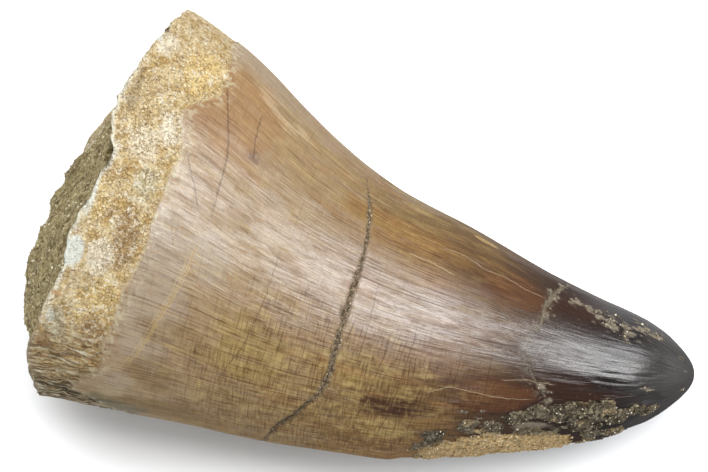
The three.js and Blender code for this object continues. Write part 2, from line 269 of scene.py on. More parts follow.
ENAMEL_THICKNESS = 0.05
KEEL_HEIGHT = 0.26
FULLER_BEFORE_TIP = 0.32
FULLER_FAR_SIDE, SLIMMER_NEAR_SIDE = 0.33, 0.22  # beside the root
SWELLS = ((0.07, 7.0, 53), (0.02, 2.2, 54))  # height, size and seed of each
CRUST_BED_DEPTH = 0.34
CHIP_DEPTH = 0.5
SAND_HEIGHT = 0.16
CRACK_WALLS = 1.6  # how much steeper they are than a plain V, down to the crack's flat floor


def crack_share(crack, at, around, place):
    """1 on the middle line of a crack, 0 on its lips and beyond, and the crack's width."""
    wander = 0.14 * noise(place, 0.9, 31, octaves=2)
    middle = around_tooth(around, crack) + wander
    width = np.maximum(around_tooth(around, crack, 2), 0)
    width = width * (1 + 0.35 * noise(place, 0.7, 32, octaves=2))
    lips = np.maximum(width / 2, 1e-6)
    return np.clip(1 - np.abs(at - middle) / lips, 0, 1) * (width > 0.03), width


def crust_bed(at, around):
    """How much of the crust's bed a point is in, from 0 to 1."""
    nearest = np.clip(at, CRUST_STRIPS[0, 0], CRUST_STRIPS[-1, 0])
    start, end = (through_points(nearest, CRUST_STRIPS, column) for column in (1, 2))
    out_along = np.abs(at - nearest) / 2
    out_around = np.maximum(np.maximum(start - around, around - end), 0) / 16
    return smoothstep(1 - np.hypot(out_along, out_around), 0, 1)


def patch_reach(at, around, patch):
    """0 in the middle of a patch, and 1 at its reach."""
    middle, angle, along, across = patch
    return np.hypot((at - middle) / along, angle_between(around, angle) / across)


def covered(at, around, patches):
    """1 in the middle of a patch, 0 at its reach, and no less than -1 outside them all."""
    return np.maximum(1 - np.min([patch_reach(at, around, p) for p in patches], axis=0), -1)


def near_patch(at, around, patch):
    """1 in the middle of a patch, and 0 outside it."""
    return 1 - smoothstep(patch_reach(at, around, patch), 0.75, 1.1)


def crust_cover(at, around, place):
    """Above 0 where crust covers the enamel, and below it where it has come off."""
    return covered(at, around, CRUST_PATCHES) + 0.34 * noise(place, 0.85, 41, octaves=3)


def sand_clumps(at, around, place):
    """Above 0 where sand clings to the enamel near the tip."""
    near = covered(at, around, SPECKS)
    clumps = near * 0.8 + 0.75 * noise(place, 0.6, 96, octaves=3) - 0.3
    return np.clip(clumps, 0, 1) * (near > -0.3)


def enamel_relief(at, around, place, real, sizes):
    """Height of the crown's swells, ribs and wrinkles."""
    full = FULLER_BEFORE_TIP * bell(at - 50.5, 5) * (1 - smoothstep(at, 55, 58))
    full = full + bell(at - 14, 6) * (
        FULLER_FAR_SIDE * bell(angle_between(around, -75), 35)
        - SLIMMER_NEAR_SIDE * bell(angle_between(around, 90), 30))
    for height, size, seed in SWELLS:
        full = full + height * noise(real, size, seed)
    ribs = noise(place, (0.55, 0.55, 9.0), 55, octaves=2)
    near_tip = smoothstep(at, 44, 49) * (1 - smoothstep(at, 55.5, 57.8))
    drifted = place + 0.5 * noise(place, 2.0, 56)[..., None]
    ridged = 1 - 2 * np.abs(noise(drifted, (1.1, 1.1, 3.4), 57, octaves=2))
    wrinkled = near_tip * (0.15 + 0.85 * bell(angle_between(around, 36), 24))
    return full + sizes["rib_height"] * ribs + sizes["tip_wrinkles"] * wrinkled * ridged


def tooth_relief(at, around, sizes):
    """Height of the real surface over the smooth form, and the masks its finish is laid by."""
    place = growth_place(at, around)
    real = tooth_form(at, around)
    ragged = 0.26 * noise(place, 1.5, 21, octaves=4)
    past_edge = at - (around_tooth(around, ENAMEL_EDGE) + ragged)
    root = 1 - smoothstep(past_edge, -0.18, 0.12)
    lumps = 0.62 * noise(real, 2.6, 51, octaves=3)
    pits = np.clip(noise(real, 0.75, 52, octaves=2) - 0.2, 0, 1)
    rough = root * (sizes["root_roughness"] * (lumps - pits - 0.35) - ENAMEL_THICKNESS)

    nearest_edge = np.minimum(angle_between(around, 90), angle_between(around, -90))
    keel = smoothstep(at, 8, 16) * (1 - smoothstep(at, 50, 57.8)) * bell(nearest_edge, 6)
    fine = enamel_relief(at, around, place, real, sizes)

    main, main_width = crack_share(MAIN_CRACK, at, around, place)
    tip, tip_width = crack_share(TIP_CRACK, at, around, place)
    groove = sizes["crack_depth"] * (
        np.minimum(CRACK_WALLS * main, 1) * np.minimum(main_width, 0.8)
        + np.minimum(CRACK_WALLS * tip, 1) * tip_width)
    worn = CRUST_BED_DEPTH * crust_bed(at, around) + CHIP_DEPTH * near_patch(at, around, CHIP)
    sand = sand_clumps(at, around, place)
    masks = {
        "root": root,
        "verge": bell(past_edge, 1.0),
        "crack": np.clip(1.7 * np.maximum(main, tip), 0, 1),
        "sand": np.clip(2.5 * sand, 0, 1),
    }
    relief = rough + KEEL_HEIGHT * keel + (1 - root) * fine - groove - worn
    return relief + SAND_HEIGHT * np.minimum(sand, 0.6), masks


def tooth_surface(at, around, sizes):
    """Points of the real surface. What would reach below the worn flat lies on it."""
    relief, masks = tooth_relief(at, around, sizes)
    points = tooth_form(at, around) + outwards(at, around) * np.expand_dims(relief, -1)
    points[..., 2] = np.maximum(points[..., 2], 0)
    return points, masks


# ---- meshes --------------------------------------------------------------------------------


def even_turn(count):
    """Angles of a full turn from the underside, closer together on the top."""
    share = np.arange(count) / count * 2 - 1
    return 180 * share - 16 * np.sin(np.pi * share)


def skin_faces(rings, sides):
    """Faces of a closed skin over rings of points, with a single point at each end."""
    corner = 1 + np.arange(rings * sides).reshape(rings, sides)
    beside = np.roll(corner, -1, axis=1)
    quads = np.stack([corner[:-1], beside[:-1], beside[1:], corner[1:]], axis=-1).reshape(-1, 4)
    end = rings * sides + 1
    start_fan = np.stack([np.zeros(sides, int), beside[0], corner[0]], axis=-1)
    end_fan = np.stack([corner[-1], beside[-1], np.full(sides, end)], axis=-1)
    return start_fan.tolist() + quads.tolist() + end_fan.tolist()


def grid_corners(shape):
    """The four corners of each face between the rows and columns of a grid of points."""
    corner = np.arange(shape[0] * shape[1]).reshape(shape)
    return corner, (corner[:-1, :-1], corner[1:, :-1], corner[1:, 1:], corner[:-1, 1:])


def to_object(name, points, faces, material=None, attributes=None):
    """An object at the origin from points in the tooth's own millimetres."""
    points = np.asarray(points, float).reshape(-1, 3) - (*REST_CENTRE, 0)
    mesh = bpy.data.meshes.new(name)
    mesh.from_pydata((points * MM).tolist(), [], faces)
    mesh.polygons.foreach_set("use_smooth", [True] * len(mesh.polygons))
    for key, values in (attributes or {}).items():
        values = np.asarray(values, float)
        kind, field = ("FLOAT_VECTOR", "vector") if values.ndim == 2 else ("FLOAT", "value")
        mesh.attributes.new(key, kind, "POINT").data.foreach_set(field, values.ravel())
    if material:
        mesh.materials.append(material)
    mesh.update()
    piece = bpy.data.objects.new(name, mesh)
    bpy.context.scene.collection.objects.link(piece)
    return piece


# ---- shader graphs -------------------------------------------------------------------------


class Value:
    """A socket that can stand in arithmetic: each operation adds its Math node."""

    def __init__(self, graph, socket):
        self.graph = graph
        self.socket = socket

    def math(self, operation, *others):
        values = dict(enumerate((self, *others)))
        return self.graph.node("ShaderNodeMath", {"operation": operation}, values)

    def __rsub__(self, other):
        return self.graph.node("ShaderNodeMath", {"operation": "SUBTRACT"}, {0: other, 1: self})

    __add__ = __radd__ = partialmethod(math, "ADD")
    __sub__ = partialmethod(math, "SUBTRACT")
    __mul__ = __rmul__ = partialmethod(math, "MULTIPLY")
    __truediv__ = partialmethod(math, "DIVIDE")
    most = partialmethod(math, "MAXIMUM")
    size = partialmethod(math, "ABSOLUTE")


class Graph:
    """Adds nodes to a node tree and joins them."""

    def __init__(self, tree):
        self.tree = tree

    def node(self, kind, settings=None, sockets=None, output=0):
        """A node of a kind: its settings are set first, then its sockets' values or links."""
        node = self.tree.nodes.new(kind)
        for name, value in (settings or {}).items():
            if name == "stops":
                ramp = node.color_ramp
                for place, colour in value[len(ramp.elements):]:
                    ramp.elements.new(place)
                for stop, (place, colour) in zip(ramp.elements, value):
                    stop.position = place
                    stop.color = (*colour, 1)
            elif name == "points":
                curve = node.mapping.curves[0]
                for point in value[2:]:
                    curve.points.new(*point)
                for point, location in zip(curve.points, sorted(value)):
                    point.location = location
                    point.handle_type = "VECTOR"
                node.mapping.update()
            else:
                setattr(node, name, value)
        for key, value in (sockets or {}).items():
            if isinstance(value, Value):
                self.tree.links.new(value.socket, node.inputs[key])
            else:
                node.inputs[key].default_value = value
        return Value(self, node.outputs[output]) if node.outputs else None

    def attribute(self, name, vector=False):
        return self.node("ShaderNodeAttribute", {"attribute_name": name}, output=1 if vector else 2)

    def place(self):
        """The place on the object in millimetres."""
        at = self.node("ShaderNodeTexCoord", output=3)
        return self.node(
            "ShaderNodeVectorMath", {"operation": "MULTIPLY"}, {0: at, 1: (1000, 1000, 1000)})

    def part(self, vector, axis):
        return self.node("ShaderNodeSeparateXYZ", None, {0: vector}, output=axis)

    def noise(self, vector, scale, detail=2.0, roughness=0.55, distortion=0.0):
        return self.node(
            "ShaderNodeTexNoise", {"noise_dimensions": "3D"},
            {"Vector": vector, "Scale": scale, "Detail": detail, "Roughness": roughness,
             "Distortion": distortion},
        )

    def spots(self, vector, scale, low, high, detail=2.0, roughness=0.55):
        """1 on spots of noise, so many a millimetre, that start at low and are full at high."""
        return self.between(self.noise(vector, scale, detail, roughness), low, high)

    def bead(self, vector, scale):
        """A random value for each of the cells that the place is packed with."""
        return self.part(self.cells(vector, scale, "F1", output=1), 0)

    def cells(self, vector, scale, feature="DISTANCE_TO_EDGE", output=0):
        sockets = {"Vector": vector, "Scale": scale}
        return self.node("ShaderNodeTexVoronoi", {"feature": feature}, sockets, output)

    def between(self, value, low, high):
        """0 below low, 1 above high, and smooth between them."""
        return self.node(
            "ShaderNodeMapRange", {"interpolation_type": "SMOOTHSTEP"},
            {"Value": value, "From Min": low, "From Max": high, "To Min": 0.0, "To Max": 1.0},
        )

    def ramp(self, value, stops, tones):
        stops = [(place, tones[name]) for place, name in stops]
        return self.node("ShaderNodeValToRGB", {"stops": stops}, {0: value})

    def blend(self, below, above, amount, how="MIX"):
        colours = [c if isinstance(c, Value) else (*c, 1) for c in (below, above)]
        return self.node(
            "ShaderNodeMix", {"data_type": "RGBA", "blend_type": how, "clamp_factor": True},
            {0: amount, 6: colours[0], 7: colours[1]}, output=2,
        )

    def bump(self, height, distance):
        """Height is 0 to 1, and distance is what 1 stands for, in millimetres."""
        return self.node("ShaderNodeBump", None, {"Height": height, "Distance": distance * MM})

    def finish(self, sockets):
        surface = self.node("ShaderNodeBsdfPrincipled", None, sockets)
        self.node("ShaderNodeOutputMaterial", None, {"Surface": surface})


class Paint:
    """A colour that is laid coat by coat, in the tones of the palette."""

    def __init__(self, graph, tones, ground):
        self.graph = graph
        self.tones = tones
        self.colour = ground

    def lay(self, tone, amount):
        """Covers it with a tone."""
        self.colour = self.graph.blend(self.colour, self.tones[tone], amount)

    def lay_patches(self, skin, patches, ragged):
        for tone, amount, *patch in patches:
            self.lay(tone, skin.patch(*patch, ragged) * amount)

    def darken(self, factors, amount):
        """Multiplies it by a colour."""
        self.colour = self.graph.blend(self.colour, factors, amount, "MULTIPLY")


def new_material(name, viewport):
    material = bpy.data.materials.new(name)
    material.use_nodes = True
    material.diffuse_color = (*viewport, 1)
    material.node_tree.nodes.clear()
    return material, Graph(material.node_tree)


def linear(*channels):
    """A colour as it looks on a screen to the linear values that nodes take."""
    return tuple(c / 12.92 if c <= 0.04045 else ((c + 0.055) / 1.055) ** 2.4 for c in channels)


# thin growth lines, counted along the tooth or over its arc: lines a millimetre, their share of a
# step and seed, then the streaks that hold them: how many a millimetre across and along the
# tooth, their seed, and where they start and are full
HATCHES = {
    "ribs": ("arc", 3.4, 0.30, 3, (1.6, 0.30, 4, 0.46, 0.60)),
    "along": ("arc", 3.1, 0.16, 17, (2.2, 0.36, 2, 0.42, 0.62)),
    "bold along": ("arc", 1.3, 0.06, 19, (1.3, 0.24, 6, 0.48, 0.62)),
    "split along": ("arc", 0.45, 0.035, 29, (0.5, 0.12, 14, 0.48, 0.60)),
    "across": ("at", 2.9, 0.14, 23, (0.5, 2.3, 8, 0.42, 0.62)),
    "split across": ("at", 0.8, 0.06, 27, (0.42, 0.8, 12, 0.52, 0.62)),
}
LINE_DRIFT = 1.3
DRIFTS = {"arc": (0.3, 0.07), "at": (0.12, 0.3)}  # how many a millimetre across and along
CURVE_REACH = 60.0  # the distances that a line's curve can hold
ARC_STEP = 0.17  # millimetres of skin to a degree, for the lines that run along the tooth


class Skin:
    """Where a point of the tooth's skin is, and the marks that are laid by it."""

    def __init__(self, graph):
        self.graph = graph
        self.place = graph.place()
        self.growth = graph.attribute("growth", vector=True)
        self.at = graph.part(self.growth, 2)
        turned = graph.part(self.growth, 1).math("ARCTAN2", graph.part(self.growth, 0))
        self.around = turned * (180 / math.pi)
        self.arc = turned * GROWTH_RADIUS
        self.blotches = graph.noise(self.growth, 0.55, 4.0, 0.6) - 0.5
        self.jitter = graph.noise(self.growth, 1.6, 3.0, 0.6) - 0.5

    def stretched(self, across, along, seed=0.0):
        """The rolled-out place with so many features a millimetre across and along the tooth."""
        shift = (seed * across, seed * 0.7 * across, seed * 1.3 * along)
        return self.graph.node("ShaderNodeMapping", {"vector_type": "POINT"},
                               {0: self.growth, 1: shift, 3: (across, across, along)})

    def streaks(self, across, along, seed, low, high, detail=3.0):
        """1 on streaks, of so many a millimetre across and along the tooth."""
        return self.graph.spots(self.stretched(across, along, seed), 1.0, low, high, detail, 0.6)

    def hatch(self, name):
        """1 on thin lines at nearly even steps, where their streaks hold them."""
        run, per_millimetre, share, seed, held = HATCHES[name]
        broken = self.streaks(*held, detail=1.0)
        drift = self.graph.noise(self.stretched(*DRIFTS[run], seed), 1.0, 1.0, 0.5) - 0.5
        step = (getattr(self, run) + drift * LINE_DRIFT) * per_millimetre
        off = (step.math("FRACT") - 0.5).size()
        return self.graph.between(off, share, share * 0.4) * broken

    def past(self, start, full):
        """0 before the start distance and 1 past the full one, or falling if start is larger."""
        return self.graph.between(self.at, start, full)

    def off_angle(self, middle, reach, core):
        """1 within the core of an angle around the tooth, and 0 out of its reach."""
        return self.graph.between((self.around - middle).size(), reach, core)

    def patch(self, at, around, along, across, ragged=0.9):
        reach_along = (self.at - at) / along
        reach_around = (self.around - around) / across
        reach = (reach_along * reach_along + reach_around * reach_around).math("SQRT")
        return self.graph.between(reach + self.blotches * ragged, 1.1, 0.6)

    def line(self, points, width, wander=0.35, along=False):
        """1 on a thin line. Points are (around, distance), or (distance, around) for a line
        along the tooth, and the width is in millimetres."""
        if along:
            run, scale, shift = self.at, CURVE_REACH, 0.0
            other, height, level = self.around, 360.0, 0.5
        else:
            run, scale, shift = self.around, 360.0, 0.5
            other, height, level = self.at, CURVE_REACH, 0.0
        start, end = points[0][0], points[-1][0]
        shares = [((x / scale) + shift, y / height + level) for x, y in points]
        shares = [(0.0, shares[0][1]), *shares, (1.0, shares[-1][1])]
        curve = self.graph.node(
            "ShaderNodeFloatCurve", {"points": shares}, {"Value": run / scale + shift})
        off = other - (curve - level) * height
        if along:
            off = off * ARC_STEP
        off = (off + self.jitter * wander).size()
        margin = (end - start) * 0.06
        inside = self.graph.between(run, start - margin, start + margin) * self.graph.between(
            run, end + margin, end - margin)
        return self.graph.between(off, width, width * 0.35) * inside


# ---- finish of the tooth -------------------------------------------------------------------

# hair cracks that run round the tooth: around and distance of their points, and the width
BROWN_HAIRS = (
    ([(-39, 8.3), (-29, 9.3), (-20, 10.2), (-14, 10.5), (-6, 10.6), (0, 10.7)], 0.13),
    ([(-9, 7.1), (-3, 8.3), (3, 9.4)], 0.12),
    ([(-39, 12.0), (-30, 12.2), (-22, 12.6)], 0.10),
    ([(2, 17.4), (20, 17.2), (36, 16.4), (52, 14.8)], 0.07),
    ([(12, 29.4), (26, 29.2), (44, 28.6), (58, 28.0)], 0.08),
    ([(8, 31.6), (30, 31.4), (52, 30.9), (66, 30.2)], 0.09),
    ([(20, 33.6), (38, 33.6), (60, 33.0), (72, 32.4)], 0.09),
    ([(10, 36.2), (24, 36.3), (46, 36.0), (62, 35.7)], 0.08),
    ([(6, 38.9), (22, 39.2), (40, 39.4), (54, 39.3)], 0.09),
    ([(-4, 27.0), (14, 27.1), (30, 26.9)], 0.07),
)
YELLOW_HAIR = ((13, 10.2), (23, 9.8), (32, 9.1), (41.5, 8.2), (50, 7.5), (57, 6.6))
YELLOW_BESIDE = ((15, 9.7), (24, 9.4), (33, 8.7), (42, 7.8), (50, 7.1), (60, 5.8))
# its coats: points, width, tone and how much of it
YELLOW_COATS = (
    (YELLOW_HAIR, 0.22, "straw", 0.30), (YELLOW_BESIDE, 0.09, "straw", 0.28),
    (YELLOW_HAIR, 0.055, "bark", 0.6),
)
# pale hair cracks that run along it: distance and around of their points
PALE_HAIRS = (
    ((32.2, -36), (34.8, -37), (36.1, -34), (38.3, -36), (40.3, -34), (42.4, -34)),
    ((29, -24.6), (31.6, -24.3), (33.5, -23.0)),
    ((34.1, 35.5), (36.0, 31), (38.6, 33), (41.3, 35), (43.6, 35)),
    ((40.6, 24), (42.6, 22), (45.4, 23.5)),
)
DUSTY_LINE = (
    (-43, 43.2), (-27, 42.7), (-20, 43.0), (-7, 41.9), (5, 41.9), (22, 42.4), (31, 44.2),
    (40, 45.4),
)

# where each tone of the crown is strongest, as a share of its length
CROWN_STOPS = (
    (0.12, "young"), (0.24, "beige"), (0.37, "tan"), (0.47, "olive_tan"), (0.58, "brown"),
    (0.67, "chestnut"), (0.76, "chocolate"), (0.86, "black"), (0.97, "tip"),
)
# tone and how much of it, then where it lies: distance, around, and its reach in each
ENAMEL_TONES = (
    # the first patch, along the upper edge, is painted sheen: a grey reflection laid into the
    # colour
    ("haze", 0.40, 14, -66, 20, 14), ("haze", 0.55, 7.6, 32, 3.4, 30),
    ("rosy", 0.9, 9.5, -33, 5.5, 24), ("haze", 0.6, 11.5, 14, 2.4, 9),
    ("olive_tan", 0.6, 8.6, 60, 3.2, 8), ("olive_tan", 0.5, 10.2, 42, 3.6, 6),
    ("haze", 0.5, 6.0, 66, 1.6, 5), ("amber", 0.6, 30, 80, 6.5, 20),
    ("olive_gold", 0.7, 17, 38, 4.0, 16), ("olive_gold", 0.6, 26, 30, 3.0, 12),
    ("straw", 0.5, 31, 60, 3.4, 8), ("amber", 0.6, 28, -32, 7.0, 13),
    ("stain", 1.0, 32.6, 46, 5.2, 8), ("umber", 0.9, 45.0, 34, 8.0, 16),
    ("umber", 0.65, 39.8, 30, 4.6, 8), ("stain", 0.6, 37.6, 38, 1.6, 4),
    ("russet", 0.8, 39.5, -30, 4.0, 13), ("russet", 0.85, 40, 34, 4.6, 12),
    ("umber", 0.8, 46.0, -37, 2.6, 13), ("ochre", 0.8, 35.6, -60, 1.6, 3.0),
    ("stain", 0.4, 12.6, -23, 0.7, 3), ("dust", 0.7, 24.6, -72, 0.5, 2),
    # the grey patch along the upper edge before the tip is painted sheen
    ("straw", 0.5, 28.4, -57, 2.0, 2.5), ("slate", 0.3, 40, -68, 9, 11),
    ("olive_tan", 0.7, 9.5, 80, 8.0, 9), ("dust", 0.7, 44.6, 59, 2.0, 5),
    ("tan", 0.5, 14.2, 0, 2.0, 8), ("brown", 0.4, 29, -44, 7, 24),
    ("shadow_green", 0.7, 4.0, 88, 5.0, 12), ("pewter", 0.2, 5.2, 73, 1.6, 6),
    ("umber", 0.8, 49.6, 84, 1.6, 12),
)
# tone, features a millimetre across and along, seed, where a streak starts and is full, from
# where to where along the tooth it grows, how much of it, and if it keeps to the lower side
ENAMEL_STREAKS = (
    ("amber", 0.30, 0.10, 5, 0.48, 0.66, (12, 20), 0.40, False),
    ("olive_gold", 0.55, 0.20, 25, 0.48, 0.62, (10, 18), 0.34, False),
    ("mauve", 0.7, 0.16, 31, 0.54, 0.68, (4, 6), 0.18, False),
    ("haze", 0.9, 0.28, 9, 0.56, 0.70, (4, 6), 0.18, False),
    ("brown", 0.6, 0.34, 41, 0.52, 0.66, (2, 6), 0.42, True),
    ("straw", 0.7, 0.40, 43, 0.53, 0.70, (4, 9), 0.34, True),
    ("bark", 0.7, 0.20, 13, 0.52, 0.68, (8, 26), 0.55, False),
    ("stain", 0.5, 0.13, 35, 0.54, 0.70, (20, 34), 0.50, False),
)
ROOT_TONES = (
    ("yellow", 0.8, 6.0, -37, 2.2, 12), ("yellow", 0.6, 0.8, 13, 1.0, 6),
    ("yellow", 0.5, 1.8, 42, 1.3, 7), ("yellow", 0.6, 3.4, 38, 1.6, 9),
    ("cream", 0.8, 5.3, -15, 1.4, 6), ("cream", 0.5, 3.2, -6, 1.4, 6),
    ("cream", 0.7, 2.3, 27, 1.4, 6), ("cream", 0.6, 2.0, -40, 1.2, 6),
    ("pewter", 0.6, 4.5, 4, 1.3, 5), ("bark", 0.55, 3.9, 21, 1.2, 10),
    ("bark", 0.6, 2.9, 51, 1.3, 7), ("pewter", 0.8, -0.5, 50, 1.1, 7),
    ("shadow_green", 0.4, 1.5, 88, 7.0, 14),
)
RIM_TONES = (
    ("porcelain", 0.8, -0.3, 28, 0.9, 4.6), ("porcelain", 0.5, 0.0, 14, 0.4, 8.0),
    ("rusty_orange", 0.7, -0.8, 41, 0.8, 1.2), ("porcelain", 0.35, -1.1, 48, 0.5, 2.6),
    ("burnt", 0.8, 1.2, -46, 0.6, 3.0), ("porcelain", 0.7, 0.9, -40, 0.7, 2.5),
    ("bark", 0.6, -1.4, 57, 0.7, 3.0), ("burnt", 0.4, 1.0, -20, 0.5, 9.0),
)
# the root's fibres from low to high, where it faces the floor
FIBRE_STOPS = (
    (0.42, "burnt"), (0.48, "bark"), (0.52, "ochre"), (0.58, "pewter"), (0.67, "cream"))
ROOT_GRAIN = 3.3  # grains of the bare root in a millimetre

# relief of the shaders in millimetres
ENAMEL_BUMP = 0.05
ROOT_BUMP = 0.38
STONE_BUMP = 0.34


def enamel_colour(graph, skin, tones):
    """Crown: pinkish beige at the root, tan and amber brown, then chocolate and near black."""
    drift = graph.noise(skin.stretched(0.10, 0.05), 1.0, 3.0) - 0.5
    share = (skin.at + drift * 9) / TOOTH_LENGTH
    paint = Paint(graph, tones, graph.ramp(share, CROWN_STOPS, tones))

    # broad tones, among them a painted grey sheen along the upper edge, then streaks of each hue
    paint.lay_patches(skin, ENAMEL_TONES, 1.3)
    woven = skin.patch(27, 50, 19, 46, 0.7) * 0.75 + 0.25
    for name, across, along, seed, low, high, reach, amount, lower in ENAMEL_STREAKS:
        lie = skin.streaks(across, along, seed, low, high) * skin.past(*reach) * skin.past(44, 33)
        paint.lay(name, lie * (woven * amount if lower else amount))
    # painted sheen: the mauve tone laid along the top band where the highlight falls
    painted_sheen = skin.off_angle(2, 34, 8) * skin.past(12, 26) * skin.past(42, 32)
    paint.lay("mauve", painted_sheen * 0.45)
    ribs = skin.hatch("ribs")
    paint.lay("rib", ribs * skin.patch(13.6, -49, 4.0, 7, 0.9) * 0.5)

    # growth lines along the tooth, lines across it, and hair cracks that follow both
    fibre = graph.noise(skin.stretched(3.4, 0.34), 1.0, 5.0, 0.70)
    thread = graph.noise(skin.stretched(0.8, 3.6, 21), 1.0, 4.0, 0.66)
    along = skin.hatch("along") * skin.past(50, 36)
    bold = skin.hatch("bold along")
    faint = skin.past(12, 28).most(graph.between(skin.around, 10, 38)) * 0.6 + 0.4
    along = along.most(bold * 0.85) * faint
    across = skin.hatch("across") * woven
    split = skin.hatch("split across") * woven
    split = split.most(skin.hatch("split along") * faint)
    along, across, split = (mark * skin.past(1, 5) for mark in (along, across, split))
    before_tip = skin.past(54, 44)
    low_fibre = graph.between(fibre, 0.50, 0.66) * (woven * 0.4 + 0.4) * before_tip
    paint.darken((0.46, 0.36, 0.26), low_fibre)
    paint.lay("straw", graph.between(fibre, 0.47, 0.32) * 0.28 * skin.past(38, 28))
    paint.darken((0.50, 0.40, 0.26), graph.between(thread, 0.51, 0.64) * 0.55 * woven)
    paint.lay("straw", graph.between(thread, 0.47, 0.34) * 0.26 * woven * skin.past(38, 28))
    paint.darken((0.46, 0.32, 0.20), (along * 0.72).most(across * 0.70))
    paint.lay("crack", split * 0.5 * before_tip)
    crazed = graph.cells(skin.stretched(0.62, 0.34, 3), 1.0)
    crazed = graph.between(crazed, 0.035, 0.008) * skin.patch(11, 0, 9, 50, 1.2)
    paint.lay("bark", crazed * graph.between(skin.jitter, -0.04, 0.06) * 0.65)
    return paint, fibre, (along * 0.8).most(across * 0.6).most(split)


def root_colour(graph, skin, tones):
    """Bare root: granular gold with pale patches, and fibrous where it faces the floor."""
    place = skin.place
    paint = Paint(graph, tones, tones["gold"])
    paint.lay("ochre", graph.spots(place, 0.55, 0.46, 0.64, 4.0, 0.65))
    paint.lay_patches(skin, ROOT_TONES, 1.6)
    paint.lay("cream", graph.spots(place, 0.9, 0.53, 0.64, 5.0, 0.75) * 0.75)
    verge = graph.attribute("verge") * graph.spots(place, 1.1, 0.40, 0.56, 3.0)
    paint.lay("ochre", verge * 0.7)

    ragged = skin.around + skin.jitter * 26
    low = graph.between(ragged, 44, 60) * graph.between(ragged, 178, 150)
    fibre = graph.noise(skin.stretched(2.8, 0.5, 7), 1.0, 5.0, 0.75, 0.7)
    stringy = graph.ramp(fibre, FIBRE_STOPS, tones)
    paint.colour = graph.blend(paint.colour, stringy, low * 0.85)

    bead = graph.bead(place, ROOT_GRAIN)
    groove = graph.between(graph.cells(place, ROOT_GRAIN), 0.16, 0.03)
    fine = graph.noise(place, 4.6, 3.0, 0.75)
    patchy = graph.spots(place, 0.7, 0.42, 0.60, 3.0, 0.6)
    high = 1.0 - low * 0.6
    paint.lay("cream", graph.between(bead, 0.34, 0.10) * 0.30 * high)
    paint.darken((0.52, 0.42, 0.28), graph.between(bead, 0.62, 0.90) * 0.45 * high)
    paint.darken((0.42, 0.31, 0.19), groove * (patchy * 0.5 + 0.15) * high)
    paint.darken((0.25, 0.18, 0.11), graph.between(fine, 0.57, 0.70) * 0.6)
    edge = graph.attribute("rim") * graph.between(fine, 0.66, 0.50)
    paint.lay("bone", edge * (skin.off_angle(10, 44, 24) * 0.75 + 0.15))
    sooty = skin.patch(0.5, 92, 6.5, 20, 1.2) * graph.between(fibre, 0.58, 0.44)
    paint.darken((0.30, 0.31, 0.30), sooty * 0.9)
    paint.lay_patches(skin, RIM_TONES, 2.4)
    coarse = graph.noise(place, 2.6, 5.0, 0.7)
    height = (coarse * 0.8 - bead * 0.15) * high + fibre * low * 1.3
    return paint.colour, height - graph.between(fine, 0.5, 0.7) * 0.3


def lay_marks(paint, skin):
    """Hair cracks, the dusty line over the crack near the tip, and sand that clings beside it."""
    graph = paint.graph
    for points, width in BROWN_HAIRS:
        paint.lay("stain", skin.line(points, width) * 0.5)
    for points, width, tone, amount in YELLOW_COATS:
        paint.lay(tone, skin.line(points, width, 0.6) * amount)
    for points in PALE_HAIRS:
        paint.lay("rib", skin.line(points, 0.055, 0.30, along=True) * 0.27)
    dust = graph.spots(skin.place, 2.4, 0.46, 0.60, 4.0, 0.7)
    paint.lay("dust", skin.line(DUSTY_LINE, 0.8, 1.8) * dust * 0.25)
    specks = graph.spots(skin.place, 2.1, 0.66, 0.72, 2.0, 0.6)
    specks = (specks * 0.3 * skin.past(36, 44)).most(graph.attribute("sand"))
    dirt = Paint(graph, paint.tones, paint.tones["dust"])
    dirt.lay("grit_dark", graph.spots(skin.place, 3.4, 0.46, 0.6, 3.0, 0.75))
    paint.colour = graph.blend(paint.colour, dirt.colour, specks * 0.85)
    return specks


def enamel_shine(graph, skin, fibre, weave, ridges, dusty):
    """How polished the skin is: most in a band along the top, and matt in its fine lines."""
    narrow = skin.past(16, 32)
    to_tip = skin.past(38, 48)
    off_band = (skin.around - 2 + to_tip * 5).size()
    band = graph.between(off_band, 47 - narrow * 22 + to_tip * 8, 19 - narrow * 14 + to_tip * 6)
    tip_shine = graph.between(skin.around, 12, -20) * skin.past(43, 50) * 0.25
    glints = graph.between(ridges, 0.50, 0.64) * skin.patch(51.5, 34, 6.0, 22)
    pits = graph.spots(skin.place, 3.2, 0.62, 0.70) * skin.past(30, 44)
    mottle = graph.spots(skin.stretched(0.7, 0.26, 33), 1.0, 0.40, 0.57, 4.0, 0.7)
    mottle = mottle * (0.65 - to_tip * 0.45) + (0.35 + to_tip * 0.45)
    cut = (graph.between(fibre, 0.46, 0.64) * 0.5).most(weave * 0.8).most(pits * 0.6)
    cut = cut * (1.0 - to_tip * 0.5)
    shine = band.most(tip_shine).most(glints * 0.8) * (1.0 - dusty) * (1.0 - cut) * mottle
    return shine * (0.80 + skin.past(20, 34) * 0.20) * skin.past(58.7, 53)


